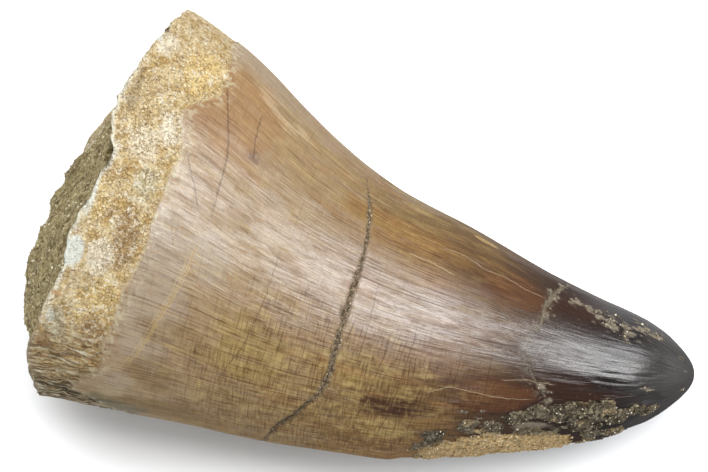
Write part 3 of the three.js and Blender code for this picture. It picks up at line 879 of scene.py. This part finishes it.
def tooth_material(tones):
    material, graph = new_material("fossil_tooth", tones["tan"])
    skin = Skin(graph)
    root = graph.attribute("root")
    crack = graph.attribute("crack")
    paint, fibre, weave = enamel_colour(graph, skin, tones)
    specks = lay_marks(paint, skin)
    verge = graph.attribute("verge") * graph.spots(skin.place, 1.3, 0.46, 0.60, 4.0, 0.7)
    paint.lay("pewter", verge * 0.6)
    bare, root_height = root_colour(graph, skin, tones)
    paint.colour = graph.blend(paint.colour, bare, root)
    grit = Paint(graph, tones, tones["grit_dark"])
    grit.lay("grit_light", graph.spots(skin.place, 3.4, 0.46, 0.60, 3.0, 0.7))
    grit.lay("dust", skin.past(32, 42) * 0.7)
    colour = graph.blend(paint.colour, grit.colour, crack)

    ridges = graph.noise(skin.stretched(1.4, 0.28, 11), 1.0, 2.0, 0.55)
    wrinkled = skin.past(36, 48) * (graph.between(skin.around, 6, 32) * 1.5 + 0.35) + 0.5
    enamel_height = fibre * (1.2 - skin.past(40, 50) * 0.85) + ridges * wrinkled
    bare_stone = root.most(crack)
    height = enamel_height * (1.0 - bare_stone) * ENAMEL_BUMP + root_height * bare_stone * ROOT_BUMP
    shine = enamel_shine(graph, skin, fibre, weave, ridges, bare_stone.most(specks))
    shared = {"Base Color": colour, "Normal": graph.bump(height, 1.0)}
    matt = {**shared, "Roughness": 1.0, "Specular IOR Level": 0.3}
    polished = {**shared, "Roughness": 0.25, "IOR": 2.0}
    matt, polished = (
        graph.node("ShaderNodeBsdfPrincipled", None, finish) for finish in (matt, polished))
    surface = graph.node("ShaderNodeMixShader", None, {0: shine, 1: matt, 2: polished})
    graph.node("ShaderNodeOutputMaterial", None, {"Surface": surface})
    return material


# ---- finish of the sandstone ---------------------------------------------------------------


def stone_material(name, tones, dark, middle, light, stain):
    """Cemented sand: patches of two tones with stains, pale and dark grains, and pits."""
    material, graph = new_material(name, tones[middle])
    place = graph.place()
    golden = graph.attribute("golden")
    paint = Paint(graph, tones, tones[dark])
    paint.lay(middle, graph.spots(place, 0.45, 0.40, 0.60, 5.0, 0.7))
    stained = graph.spots(place, 0.55, 0.54, 0.68, 4.0, 0.65)
    paint.lay(stain, golden.most(stained * 0.6))
    grain = graph.bead(place, 3.6)
    paint.lay(light, graph.between(grain, 0.62, 0.95) * 0.55)
    paint.darken((0.36, 0.29, 0.20), graph.between(grain, 0.34, 0.05) * 0.8)
    soft = graph.noise(place, 1.5, 4.0, 0.7)
    paint.lay(light, graph.between(soft, 0.54, 0.68) * 0.55)
    paint.darken((0.32, 0.26, 0.17), graph.between(soft, 0.46, 0.34) * 0.7)
    paint.darken((0.25, 0.20, 0.14), graph.spots(place, 3.0, 0.55, 0.68, 3.0, 0.7) * 0.8)
    normal = graph.bump(graph.noise(place, 3.0, 5.0, 0.7) * 0.8 + grain * 0.2, STONE_BUMP)
    graph.finish({
        "Base Color": paint.colour, "Roughness": 1.0, "Normal": normal, "Specular IOR Level": 0.2})
    return material


def grain_material(name, tones, dark, middle, light):
    """Loose sand: each grain has its own tint."""
    material, graph = new_material(name, tones[middle])
    stops = ((0.0, dark), (0.40, middle), (0.80, middle), (0.93, light), (1.0, "spark"))
    colour = graph.ramp(graph.attribute("tint"), stops, tones)
    graph.finish({"Base Color": colour, "Roughness": 0.7, "Specular IOR Level": 0.3})
    return material


# ---- sand grains ---------------------------------------------------------------------------

GRAIN_TREE = "sand_grains"
GRAIN_INPUTS = (
    ("Surface", "NodeSocketGeometry", None),
    ("Grains per square millimetre", "NodeSocketFloat", 8.0),
    ("Smallest radius", "NodeSocketFloat", 0.06),
    ("Largest radius", "NodeSocketFloat", 0.15),
    ("Seed", "NodeSocketInt", 1),
    ("Material", "NodeSocketMaterial", None),
)
FLATTEST, LONGEST = (0.75, 0.75, 0.6), (1.25, 1.25, 1.0)  # shares of a grain's radius
SQUARE_MILLIMETRES = 1e6  # in a square metre


def grain_tree():
    """Scatters small angular grains over a surface, each sunk halfway into it."""
    tree = bpy.data.node_groups.new(GRAIN_TREE, "GeometryNodeTree")
    for name, kind, value in GRAIN_INPUTS:
        socket = tree.interface.new_socket(name, in_out="INPUT", socket_type=kind)
        if value is not None:
            socket.default_value = value
    tree.interface.new_socket("Grains", in_out="OUTPUT", socket_type="NodeSocketGeometry")

    graph = Graph(tree)
    given = tree.nodes.new("NodeGroupInput")
    source = {socket.name: Value(graph, socket) for socket in given.outputs if socket.name}
    seed = source["Seed"]

    def random(kind, low, high, seed):
        first, output = (0, 0) if kind == "FLOAT_VECTOR" else (2, 1)
        return graph.node("FunctionNodeRandomValue", {"data_type": kind},
                          {first: low, first + 1: high, "Seed": seed}, output)

    points = graph.node("GeometryNodeDistributePointsOnFaces", {"distribute_method": "RANDOM"}, {
        "Mesh": source["Surface"], "Seed": seed,
        "Density": source["Grains per square millimetre"] * SQUARE_MILLIMETRES})
    shape = graph.node("GeometryNodeMeshIcoSphere", None, {"Radius": MM, "Subdivisions": 1})
    turned = random("FLOAT_VECTOR", (0.0, 0.0, 0.0), (6.28, 6.28, 6.28), seed)
    radius = random("FLOAT", source["Smallest radius"], source["Largest radius"], seed + 1)
    stretch = random("FLOAT_VECTOR", FLATTEST, LONGEST, seed + 2)
    size = graph.node("ShaderNodeVectorMath", {"operation": "SCALE"}, {0: stretch, "Scale": radius})
    grains = graph.node("GeometryNodeInstanceOnPoints", None, {
        "Points": points, "Instance": shape, "Rotation": turned, "Scale": size})
    tint = random("FLOAT", 0.0, 1.0, seed + 3)
    tinted = graph.node(
        "GeometryNodeStoreNamedAttribute", {"data_type": "FLOAT", "domain": "INSTANCE"},
        {"Geometry": grains, "Name": "tint", "Value": tint})
    real = graph.node("GeometryNodeRealizeInstances", None, {"Geometry": tinted})
    dressed = graph.node(
        "GeometryNodeSetMaterial", None, {"Geometry": real, "Material": source["Material"]})
    graph.node("NodeGroupOutput", None, {0: dressed})
    return tree


def scatter_grains(name, surface, material, density, radii, settings, seed=0):
    """Turns a surface into the grains on it, as a plain mesh, and removes the surface."""
    tree = bpy.data.node_groups.get(GRAIN_TREE) or grain_tree()
    modifier = surface.modifiers.new("grains", "NODES")
    modifier.node_group = tree
    smallest, largest = (radius * settings.grain_size for radius in radii)
    values = (density, smallest, largest, settings.grain_seed + seed, material)
    for (key, *_), value in zip(GRAIN_INPUTS[1:], values):
        modifier[tree.interface.items_tree[key].identifier] = value
    settled = surface.evaluated_get(bpy.context.evaluated_depsgraph_get())
    mesh = bpy.data.meshes.new_from_object(settled)
    mesh.name = name
    bpy.data.objects.remove(surface)
    grains = bpy.data.objects.new(name, mesh)
    bpy.context.scene.collection.objects.link(grains)
    if not mesh.polygons:
        raise RuntimeError(f"{name}: no grain was scattered")
    return grains


def surface_patch(at, around, keep, sizes):
    """Part of the tooth's skin, as a surface to scatter grains on."""
    points, _ = tooth_surface(at, around, sizes)
    _, (a, b, c, d) = grid_corners(at.shape)
    kept = keep.ravel()[np.stack([a, b, c, d])].all(axis=0)
    return to_object("emitter", points, np.stack([a, d, c, b], axis=-1)[kept].tolist())


# ---- settings ------------------------------------------------------------------------------

# colours as they look on a screen, from 0 to 255
COLOURS = {
    "young": ("Enamel beside the root", 137, 117, 92),
    "beige": ("Enamel of the lower crown", 129, 108, 79),
    "tan": ("Enamel before the middle of the crown", 120, 99, 69),
    "olive_tan": ("Enamel at the middle of the crown", 109, 88, 56),
    "brown": ("Enamel past the middle", 85, 63, 37),
    "chestnut": ("Enamel before the dark tip", 62, 42, 25),
    "chocolate": ("Enamel of the dark tip", 41, 25, 17),
    "black": ("Enamel of the very tip", 22, 15, 14),
    "tip": ("Enamel at the very point", 51, 48, 47),
    "amber": ("Amber patches of the enamel", 118, 86, 46),
    "umber": ("Dark reddish enamel beside the crust", 44, 22, 12),
    "stain": ("Dark stains of the enamel", 60, 36, 21),
    # laid along the upper edge as painted sheen, and as a greyish tone in other patches and streaks
    "haze": ("Greyish bloom along the upper edge", 138, 126, 112),
    "mauve": ("Greyish band of enamel along the root", 140, 125, 120),
    # also laid along the top band as painted sheen
    "straw": ("Pale yellow threads of the enamel", 170, 150, 98),
    "russet": ("Reddish brown enamel past the middle", 76, 46, 24),
    # painted sheen: a grey reflection along the upper edge, laid into the colour
    "slate": ("Grey bloom before the tip", 98, 90, 86),
    "rosy": ("Enamel over the golden root", 128, 97, 64),
    "olive_gold": ("Yellowish streaks of the crown", 126, 106, 62),
    "rib": ("Palest lines of the enamel", 196, 180, 150),
    "crack": ("Fine dark cracks of the enamel", 58, 38, 24),
    "dust": ("Sandy dust on the enamel", 124, 115, 99),
    "gold": ("Bare root", 191, 171, 130),
    "yellow": ("Golden patches of the bare root", 204, 179, 122),
    "pewter": ("Greenish grey patches of the bare root", 172, 166, 140),
    "bark": ("Brown granular patches of the bare root", 128, 96, 60),
    "burnt": ("Darkest fibres of the root", 84, 62, 34),
    "cream": ("Pale patches of the bare root", 216, 208, 188),
    "ochre": ("Ochre patches of the bare root", 172, 145, 94),
    "shadow_green": ("Root that faces the floor", 84, 84, 66),
    "bone": ("Fresh edge of the broken root", 208, 204, 186),
    "porcelain": ("Smooth white chip of the rim", 202, 206, 198),
    "rusty_orange": ("Orange notch of the rim", 178, 128, 74),
    "grit_dark": ("Sandy fill of the cracks", 82, 68, 52),
    "grit_light": ("Bright grains of the cracks", 138, 122, 98),
    "olive_dark": ("Shaded sandstone of the base", 112, 98, 66),
    "olive": ("Sandstone of the base", 148, 134, 94),
    "olive_light": ("Pale grains of the sandstone", 184, 174, 138),
    "rust": ("Brown stains of the sandstone", 130, 98, 56),
    "crust_dark": ("Shaded crust near the tip", 50, 43, 34),
    "crust": ("Crust near the tip", 80, 72, 58),
    "crust_light": ("Pale grains of the crust", 150, 141, 116),
    "crust_gold": ("Crust along the lower edge", 172, 147, 104),
    "crust_pale": ("Pale grains of the golden crust", 206, 186, 140),
    "spark": ("Brightest grains of sand", 206, 200, 178),
}


def length_setting(name, description, default):
    return FloatProperty(
        name=name, description=description, default=default, subtype="DISTANCE", unit="LENGTH")


def angle_setting(name, description, degrees):
    return FloatProperty(
        name=name, description=description, default=math.radians(degrees), subtype="ANGLE",
        unit="ROTATION")


def share_setting(name, description, default=1.0):
    return FloatProperty(
        name=name, description=description, default=default, min=0, subtype="FACTOR")


def colour_setting(key, description, *channels):
    return FloatVectorProperty(
        name=key.replace("_", " ").capitalize(), description=description,
        default=[channel / 255 for channel in channels], min=0, max=1, subtype="COLOR_GAMMA")


class FossilSizes(bpy.types.PropertyGroup):
    """Heights of the relief and sizes of the sand."""

    root_roughness: length_setting("Root roughness", "Height of the bare root's lumps", 0.30 * MM)
    rib_height: length_setting("Rib height", "Height of the fine ribs of the enamel", 0.012 * MM)
    tip_wrinkles: length_setting("Tip wrinkles", "Height of the wrinkles by the tip", 0.085 * MM)
    crack_depth: share_setting("Crack depth", "Depth of a crack as a share of its width", 0.5)
    grain_size: share_setting("Grain size", "Size of the sand grains as a share of the built one")
    grain_seed: IntProperty(
        name="Grain seed", description="Another number scatters the sand anew", default=3)


class FossilColours(bpy.types.PropertyGroup):
    """Colours of the enamel, the bare root and the sand."""

    __annotations__ = {key: colour_setting(key, *row) for key, row in COLOURS.items()}


class FossilStage(bpy.types.PropertyGroup):
    """Camera and light."""

    distance: length_setting("Camera distance", "From the camera to the point it looks at", 0.295)
    elevation: angle_setting("Camera height", "Angle of the camera over the floor", 75)
    azimuth: angle_setting("Camera turn", "Angle of the camera about the upright", 15.4)
    lens: FloatProperty(
        name="Lens", description="Focal length of the camera", default=150, unit="CAMERA")
    key: share_setting("Key light", "Strength of the softboxes")
    fill: share_setting("Fill light", "Strength of the light from all around")


def millimetres(settings):
    """The size settings in millimetres, with shares as they are."""
    names = ("root_roughness", "rib_height", "tip_wrinkles")
    sizes = {name: getattr(settings, name) / MM for name in names}
    return sizes | {"crack_depth": settings.crack_depth}


def palette(settings):
    return {name: linear(*getattr(settings, name)) for name in COLOURS}


# ---- pieces --------------------------------------------------------------------------------

HOLLOW_DEPTH = 8.0
LIP_DEPTH = 0.9  # how far the hollow's wall starts behind the break


class FOSSIL_OT_tooth(bpy.types.Operator):
    """Builds the crown and the broken root as one closed mesh"""

    bl_idname = "fossil.tooth"
    bl_label = "Tooth"
    bl_options = {"REGISTER", "UNDO"}

    SIDES = 272
    ROOT_END = 10.5  # where the closer rings of the root end
    ROOT_RINGS, CROWN_RINGS, TIP_RINGS = 62, 212, 44
    LIP_STEPS = (0.15, 0.5, 0.85, 1.0)
    HOLLOW_STEPS = (1.0, 0.8, 0.55, 0.3)

    def inside(self, around, rim):
        """Rings of the hollow from its floor to the rim, and the middle of the floor."""
        wall = inner_share(around)
        lip = []
        for step in self.LIP_STEPS:
            ring = broken_form(around, 1 + (wall - 1) * step)
            grit = noise(ring, 0.9, 71, octaves=3)
            ring[:, 0] = rim + 0.12 * grit - 0.08 * np.sin(np.pi * step)
            lip.append(ring)
        hollow = []
        for share in self.HOLLOW_STEPS:
            ring = broken_form(around, wall * share)
            ring[:, 0] += LIP_DEPTH + (HOLLOW_DEPTH - LIP_DEPTH) * (1 - share**2)
            hollow.append(ring)
        floor = broken_form(np.zeros(1), 0.0)
        floor[:, 0] += HOLLOW_DEPTH
        return floor, np.array(hollow[::-1] + lip[::-1])

    def execute(self, context):
        sizes = millimetres(context.scene.fossil_sizes)
        around = even_turn(self.SIDES)
        rim = rim_distance(around)
        tip_start = TOOTH_LENGTH - TIP_ROUNDING
        tip_steps = np.sin(np.linspace(0, np.pi / 2, self.TIP_RINGS, endpoint=False))
        steps = np.concatenate([
            np.linspace(0, self.ROOT_END, self.ROOT_RINGS, endpoint=False),
            np.linspace(self.ROOT_END, tip_start, self.CROWN_RINGS, endpoint=False),
            TOOTH_LENGTH - TIP_ROUNDING * (1 - tip_steps),
        ])
        fade = 1 - smoothstep(steps, 0, 12)
        at = steps[:, None] + fade[:, None] * rim[None, :]
        outer, masks = tooth_surface(at, np.broadcast_to(around, at.shape), sizes)
        floor, inner = self.inside(around, rim)
        rings = np.concatenate([inner, outer])
        tip = tooth_form(np.array([TOOTH_LENGTH]), np.zeros(1))
        points = np.concatenate([floor, rings.reshape(-1, 3), tip])

        inner_at = np.broadcast_to(rim, inner.shape[:2])
        turns = np.broadcast_to(around, rings.shape[:2])
        growth = growth_place(np.concatenate([inner_at, at]), turns)
        ends = growth[0, :1], growth[-1, :1] * (0, 0, 1)
        attributes = {"growth": np.concatenate([ends[0], growth.reshape(-1, 3), ends[1]])}
        masks["rim"] = 1 - smoothstep(at - rim, 0.1, 0.55 + 0.25 * noise(outer, 1.5, 72))
        for name, mask in masks.items():
            before = np.full(inner.shape[:2], 1.0 if name in ("root", "rim") else 0.0)
            full = np.concatenate([before, mask]).ravel()
            attributes[name] = np.concatenate([full[:1], full, full[-1:]])
        faces = skin_faces(len(rings), len(around))
        material = tooth_material(palette(context.scene.fossil_colours))
        piece = to_object("tooth_body", points, faces, material, attributes)
        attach(piece, BODY)
        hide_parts("tooth")
        return {"FINISHED"}


class FOSSIL_OT_matrix_fill(bpy.types.Operator):
    """Builds the sandstone in the hollow of the root, with loose grains on its face"""

    bl_idname = "fossil.matrix_fill"
    bl_label = "Sandstone fill"
    bl_options = {"REGISTER", "UNDO"}

    SIDES, RINGS = 220, 83
    CLEARANCE = 0.08
    SINK = 0.3  # how far its edge lies behind the break
    BACK_STEPS = (0.97, 0.7, 0.4)  # shares of the radius for the rings inside the hollow
    # around, share of the radius, height and spread of each lump
    LUMPS = (
        (120, 0.42, 3.4, 9.5), (100, 0.72, 1.2, 4.5), (-160, 0.5, 1.5, 8.0),
        (-95, 0.6, 0.9, 5.0), (-40, 0.5, 0.7, 4.0),
    )
    GRAIN_DENSITY, GRAIN_RADII = 3.2, (0.07, 0.17)

    def face(self, around, share):
        reach = inner_share(around) - self.CLEARANCE / BASE_HALF_HEIGHT
        points = broken_form(around, reach * share)
        points[..., 0] += self.SINK
        height = np.zeros(points.shape[:-1])
        for angle, reach, lump_height, spread in self.LUMPS:
            top = broken_form(np.array([float(angle)]), np.array([reach]))[0]
            off = np.hypot(points[..., 1] - top[1], points[..., 2] - top[2])
            height += lump_height * bell(off, spread)
        pits = np.clip(noise(points, 1.4, 82) - 0.15, 0, 1)
        height += 0.6 * noise(points, 3.4, 81, octaves=4) - 0.45 * pits
        points[..., 0] -= (1 - share**6) * height
        return points

    def execute(self, context):
        tones = palette(context.scene.fossil_colours)
        sizes = context.scene.fossil_sizes
        around = even_turn(self.SIDES)
        shares = np.linspace(0, 1, self.RINGS + 1)[1:]
        face = self.face(np.broadcast_to(around, (self.RINGS, self.SIDES)), shares[:, None])
        back = []
        for share in self.BACK_STEPS:
            ring = broken_form(around, 0.9 * share)
            ring[:, 0] += 0.5 + 6.6 * (1 - share**2)
            back.append(ring)
        middle = self.face(np.zeros((1, 1)), np.full((1, 1), 1e-3)).reshape(1, 3)
        floor = np.array([[back[-1][:, 0].max() + 0.6, *back[-1][:, 1:].mean(axis=0)]])
        rings = np.concatenate([face, np.array(back)])
        points = np.concatenate([middle, rings.reshape(-1, 3), floor])
        material = stone_material("sandstone", tones, "olive_dark", "olive", "olive_light", "rust")
        faces = skin_faces(len(rings), self.SIDES)
        piece = to_object("matrix_fill_rock", points, faces, material)
        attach(piece, BODY)
        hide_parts("matrix_fill")

        front = np.concatenate([middle, face.reshape(-1, 3)])
        emitter = to_object("emitter", front, skin_faces(self.RINGS, self.SIDES)[:-self.SIDES])
        sand = grain_material("sandstone_grains", tones, "olive_dark", "olive", "olive_light")
        grains = scatter_grains(
            "matrix_fill_grains", emitter, sand, self.GRAIN_DENSITY, self.GRAIN_RADII, sizes)
        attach(grains, BODY)
        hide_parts("matrix_fill")
        return {"FINISHED"}


class FOSSIL_OT_matrix_crust(bpy.types.Operator):
    """Builds the sandy crust along the lower front edge near the tip"""

    bl_idname = "fossil.matrix_crust"
    bl_label = "Crust"
    bl_options = {"REGISTER", "UNDO"}

    ALONG, AROUND = (33.2, 56.9), (28, 124)  # the part of the skin that can hold crust
    ROWS, COLUMNS = 236, 200
    THICKNESS = (0.05, 0.27)  # at the edge of a patch and in its middle
    EMBEDDED = 0.5
    GRAIN_DENSITY, GRAIN_RADII = 18.0, (0.04, 0.11)

    def crust(self, sizes):
        """The crust's outer skin and the one inside the tooth, and what lies where on it."""
        at, around = np.meshgrid(
            np.linspace(*self.ALONG, self.ROWS), np.linspace(*self.AROUND, self.COLUMNS),
            indexing="ij")
        place = growth_place(at, around)
        to_ends = np.minimum(at - self.ALONG[0], self.ALONG[1] - at) / 0.6
        to_sides = np.minimum(around - self.AROUND[0], self.AROUND[1] - around) / 4
        cover = crust_cover(at, around, place)
        cover = np.minimum(cover, np.minimum(to_ends, to_sides) - 0.5)
        real = tooth_form(at, around)
        grit = 0.09 * noise(real, 0.5, 91, octaves=3) + 0.07 * noise(real, 1.6, 92)
        thin, thick = self.THICKNESS
        covering = thin + (thick - thin) * smoothstep(cover, 0, 0.5) + grit
        height = np.where(cover > 0, covering, np.maximum(cover, -0.3))
        skin, _ = tooth_surface(at, around, sizes)
        out = outwards(at, around)
        golden = near_patch(at, around + 8 * noise(place, 2.5, 93, octaves=2), GOLDEN_CRUST)
        return skin + out * height[..., None], skin - out * self.EMBEDDED, cover, golden

    def execute(self, context):
        sizes = context.scene.fossil_sizes
        tones = palette(context.scene.fossil_colours)
        top, bottom, cover, golden = self.crust(millimetres(sizes))
        corner, corners = grid_corners(cover.shape)
        quads = np.stack(corners, axis=-1)
        border = np.concatenate([
            corner[0, :-1], corner[:-1, -1], corner[-1, :0:-1], corner[:0:-1, 0]])
        beside = np.roll(border, -1)
        under = cover.size
        walls = np.stack([border, beside, beside + under, border + under], axis=-1)
        flat = quads.reshape(-1, 4)
        faces = np.concatenate([flat, flat[:, ::-1] + under, walls])
        material = stone_material(
            "crust", tones, "crust_dark", "crust", "crust_light", "crust_gold")
        piece = to_object(
            "matrix_crust_rock", np.concatenate([top, bottom]), faces.tolist(), material,
            {"golden": np.concatenate([golden, golden]).ravel()})
        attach(piece, BODY)
        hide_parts("matrix_crust")

        for name, wanted, sand_tones in (
            ("matrix_crust_grains", golden < 0.5, ("grit_dark", "crust", "crust_light")),
            ("matrix_crust_golden_grains", golden >= 0.5, ("rust", "crust_gold", "crust_pale")),
        ):
            kept = (cover > -0.04) & wanted
            emitter = to_object("emitter", top, quads[kept[:-1, :-1] & kept[1:, 1:]].tolist())
            sand = grain_material(name, tones, *sand_tones)
            grains = scatter_grains(
                name, emitter, sand, self.GRAIN_DENSITY, self.GRAIN_RADII, sizes)
            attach(grains, BODY)
            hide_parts("matrix_crust")
        return {"FINISHED"}


class FOSSIL_OT_sand(bpy.types.Operator):
    """Scatters the sand that fills the cracks and clings near the tip"""

    bl_idname = "fossil.sand"
    bl_label = "Sand"
    bl_options = {"REGISTER", "UNDO"}

    def filled_crack(self, at, around, place):
        share, _ = crack_share(MAIN_CRACK, at, around, place)
        return (share > 0.15) & (noise(place, 1.3, 95, octaves=2) > -0.35)

    def clumped(self, at, around, place):
        return sand_clumps(at, around, place) > 0.05

    def execute(self, context):
        settings = context.scene.fossil_sizes
        sizes = millimetres(settings)
        tones = palette(context.scene.fossil_colours)
        # the part of the skin that is searched: from, to, and steps, along it and around it
        for name, material, sand_tones, along, turned, kept, density, radii, seed in (
            ("crack_sand", "crack_grains", ("grit_light", "dust", "crust_pale"),
             (19, 26, 200), (-55, 115, 640), self.filled_crack, 20.0, (0.03, 0.09), 10),
            ("enamel_sand", "speck_grains", ("crust_dark", "dust", "crust_light"),
             (34, 58, 300), (-60, 60, 420), self.clumped, 12.0, (0.04, 0.13), 20),
        ):
            at, around = np.meshgrid(np.linspace(*along), np.linspace(*turned), indexing="ij")
            keep = kept(at, around, growth_place(at, around))
            emitter = surface_patch(at, around, keep, sizes)
            sand = grain_material(material, tones, *sand_tones)
            grains = scatter_grains(name, emitter, sand, density, radii, settings, seed)
            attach(grains, BODY)
        return {"FINISHED"}


class FOSSIL_OT_stage(bpy.types.Operator):
    """Adds the pale floor, the soft light and the camera"""

    bl_idname = "fossil.stage"
    bl_label = "Stage"
    bl_options = {"REGISTER", "UNDO"}

    LOOKED_AT = (22.5, 4.6, 8.0)  # millimetres from the base corners
    SKY = (0.92, 0.96, 1, 1)
    SKY_STRENGTH = 0.62
    SOFTBOX_HEIGHT = 0.45
    # the middle and the sides as shares of that height, and the radiance
    SOFTBOXES = (
        ("softbox", (0.45, 0.26), (2.6, 0.72), 5.4),
        ("tip_softbox", (1.40, 1.08), (0.72, 0.66), 4.4),
    )

    def floor(self):
        bpy.ops.mesh.primitive_plane_add(size=4)
        floor = bpy.context.object
        floor.name = "floor"
        material, graph = new_material("floor", (0.9, 0.9, 0.9))
        graph.finish({
            "Base Color": (0.92, 0.92, 0.92, 1), "Roughness": 0.8, "Specular IOR Level": 0.2})
        floor.data.materials.append(material)

    def light(self, scene, stage):
        scene.world = scene.world or bpy.data.worlds.new("studio")
        scene.world.use_nodes = True
        sky = scene.world.node_tree.nodes["Background"]
        sky.inputs["Color"].default_value = self.SKY
        sky.inputs["Strength"].default_value = self.SKY_STRENGTH * stage.fill
        scene.world.cycles_visibility.glossy = False
        height = self.SOFTBOX_HEIGHT
        for name, middle, sides, radiance in self.SOFTBOXES:
            data = bpy.data.lights.new(name, "AREA")
            data.shape = "RECTANGLE"
            data.size, data.size_y = (side * height for side in sides)
            data.energy = radiance * stage.key * math.pi * data.size * data.size_y
            lamp = bpy.data.objects.new(name, data)
            lamp.location = (middle[0] * height, middle[1] * height, height)
            scene.collection.objects.link(lamp)

    def camera(self, scene, stage):
        data = bpy.data.cameras.new("camera")
        data.lens = stage.lens
        data.sensor_width = 36
        data.clip_start = 0.01
        camera = bpy.data.objects.new("camera", data)
        turn, rise = stage.azimuth, stage.elevation
        level = math.cos(rise)
        back = Vector((math.sin(turn) * level, -math.cos(turn) * level, math.sin(rise)))
        target = (Vector(self.LOOKED_AT) - Vector((*REST_CENTRE, 0))) * MM
        camera.location = target + back * stage.distance
        camera.rotation_euler = back.to_track_quat("Z", "Y").to_euler()
        scene.collection.objects.link(camera)
        scene.camera = camera
        scene.view_settings.view_transform = "Standard"

    def execute(self, context):
        stage = context.scene.fossil_stage
        self.floor()
        self.light(context.scene, stage)
        self.camera(context.scene, stage)
        return {"FINISHED"}


class FOSSIL_PT_panel(bpy.types.Panel):
    """Lists the pieces of the fossil tooth and their settings"""

    bl_idname = "FOSSIL_PT_panel"
    bl_label = "Fossil tooth"
    bl_space_type = "VIEW_3D"
    bl_region_type = "UI"
    bl_category = "Fossil"

    def draw(self, context):
        scene = context.scene
        for operator in OPERATORS:
            self.layout.operator(operator.bl_idname)
        for settings in (scene.fossil_sizes, scene.fossil_colours, scene.fossil_stage):
            box = self.layout.box()
            for name in settings.__annotations__:
                box.prop(settings, name)


OPERATORS = (
    FOSSIL_OT_stage, FOSSIL_OT_tooth, FOSSIL_OT_matrix_fill, FOSSIL_OT_matrix_crust,
    FOSSIL_OT_sand,
)
CLASSES = (FossilSizes, FossilColours, FossilStage, *OPERATORS, FOSSIL_PT_panel)


def register():
    for cls in CLASSES:
        bpy.utils.register_class(cls)
    bpy.types.Scene.fossil_sizes = PointerProperty(type=FossilSizes)
    bpy.types.Scene.fossil_colours = PointerProperty(type=FossilColours)
    bpy.types.Scene.fossil_stage = PointerProperty(type=FossilStage)


def unregister():
    for name in ("fossil_sizes", "fossil_colours", "fossil_stage"):
        delattr(bpy.types.Scene, name)
    for cls in reversed(CLASSES):
        bpy.utils.unregister_class(cls)


def main():
    register()
    bpy.ops.fossil.stage()
    bpy.ops.fossil.tooth()
    bpy.ops.fossil.matrix_fill()
    bpy.ops.fossil.matrix_crust()
    bpy.ops.fossil.sand()
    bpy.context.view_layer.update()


if __name__ == "__main__":
    main()
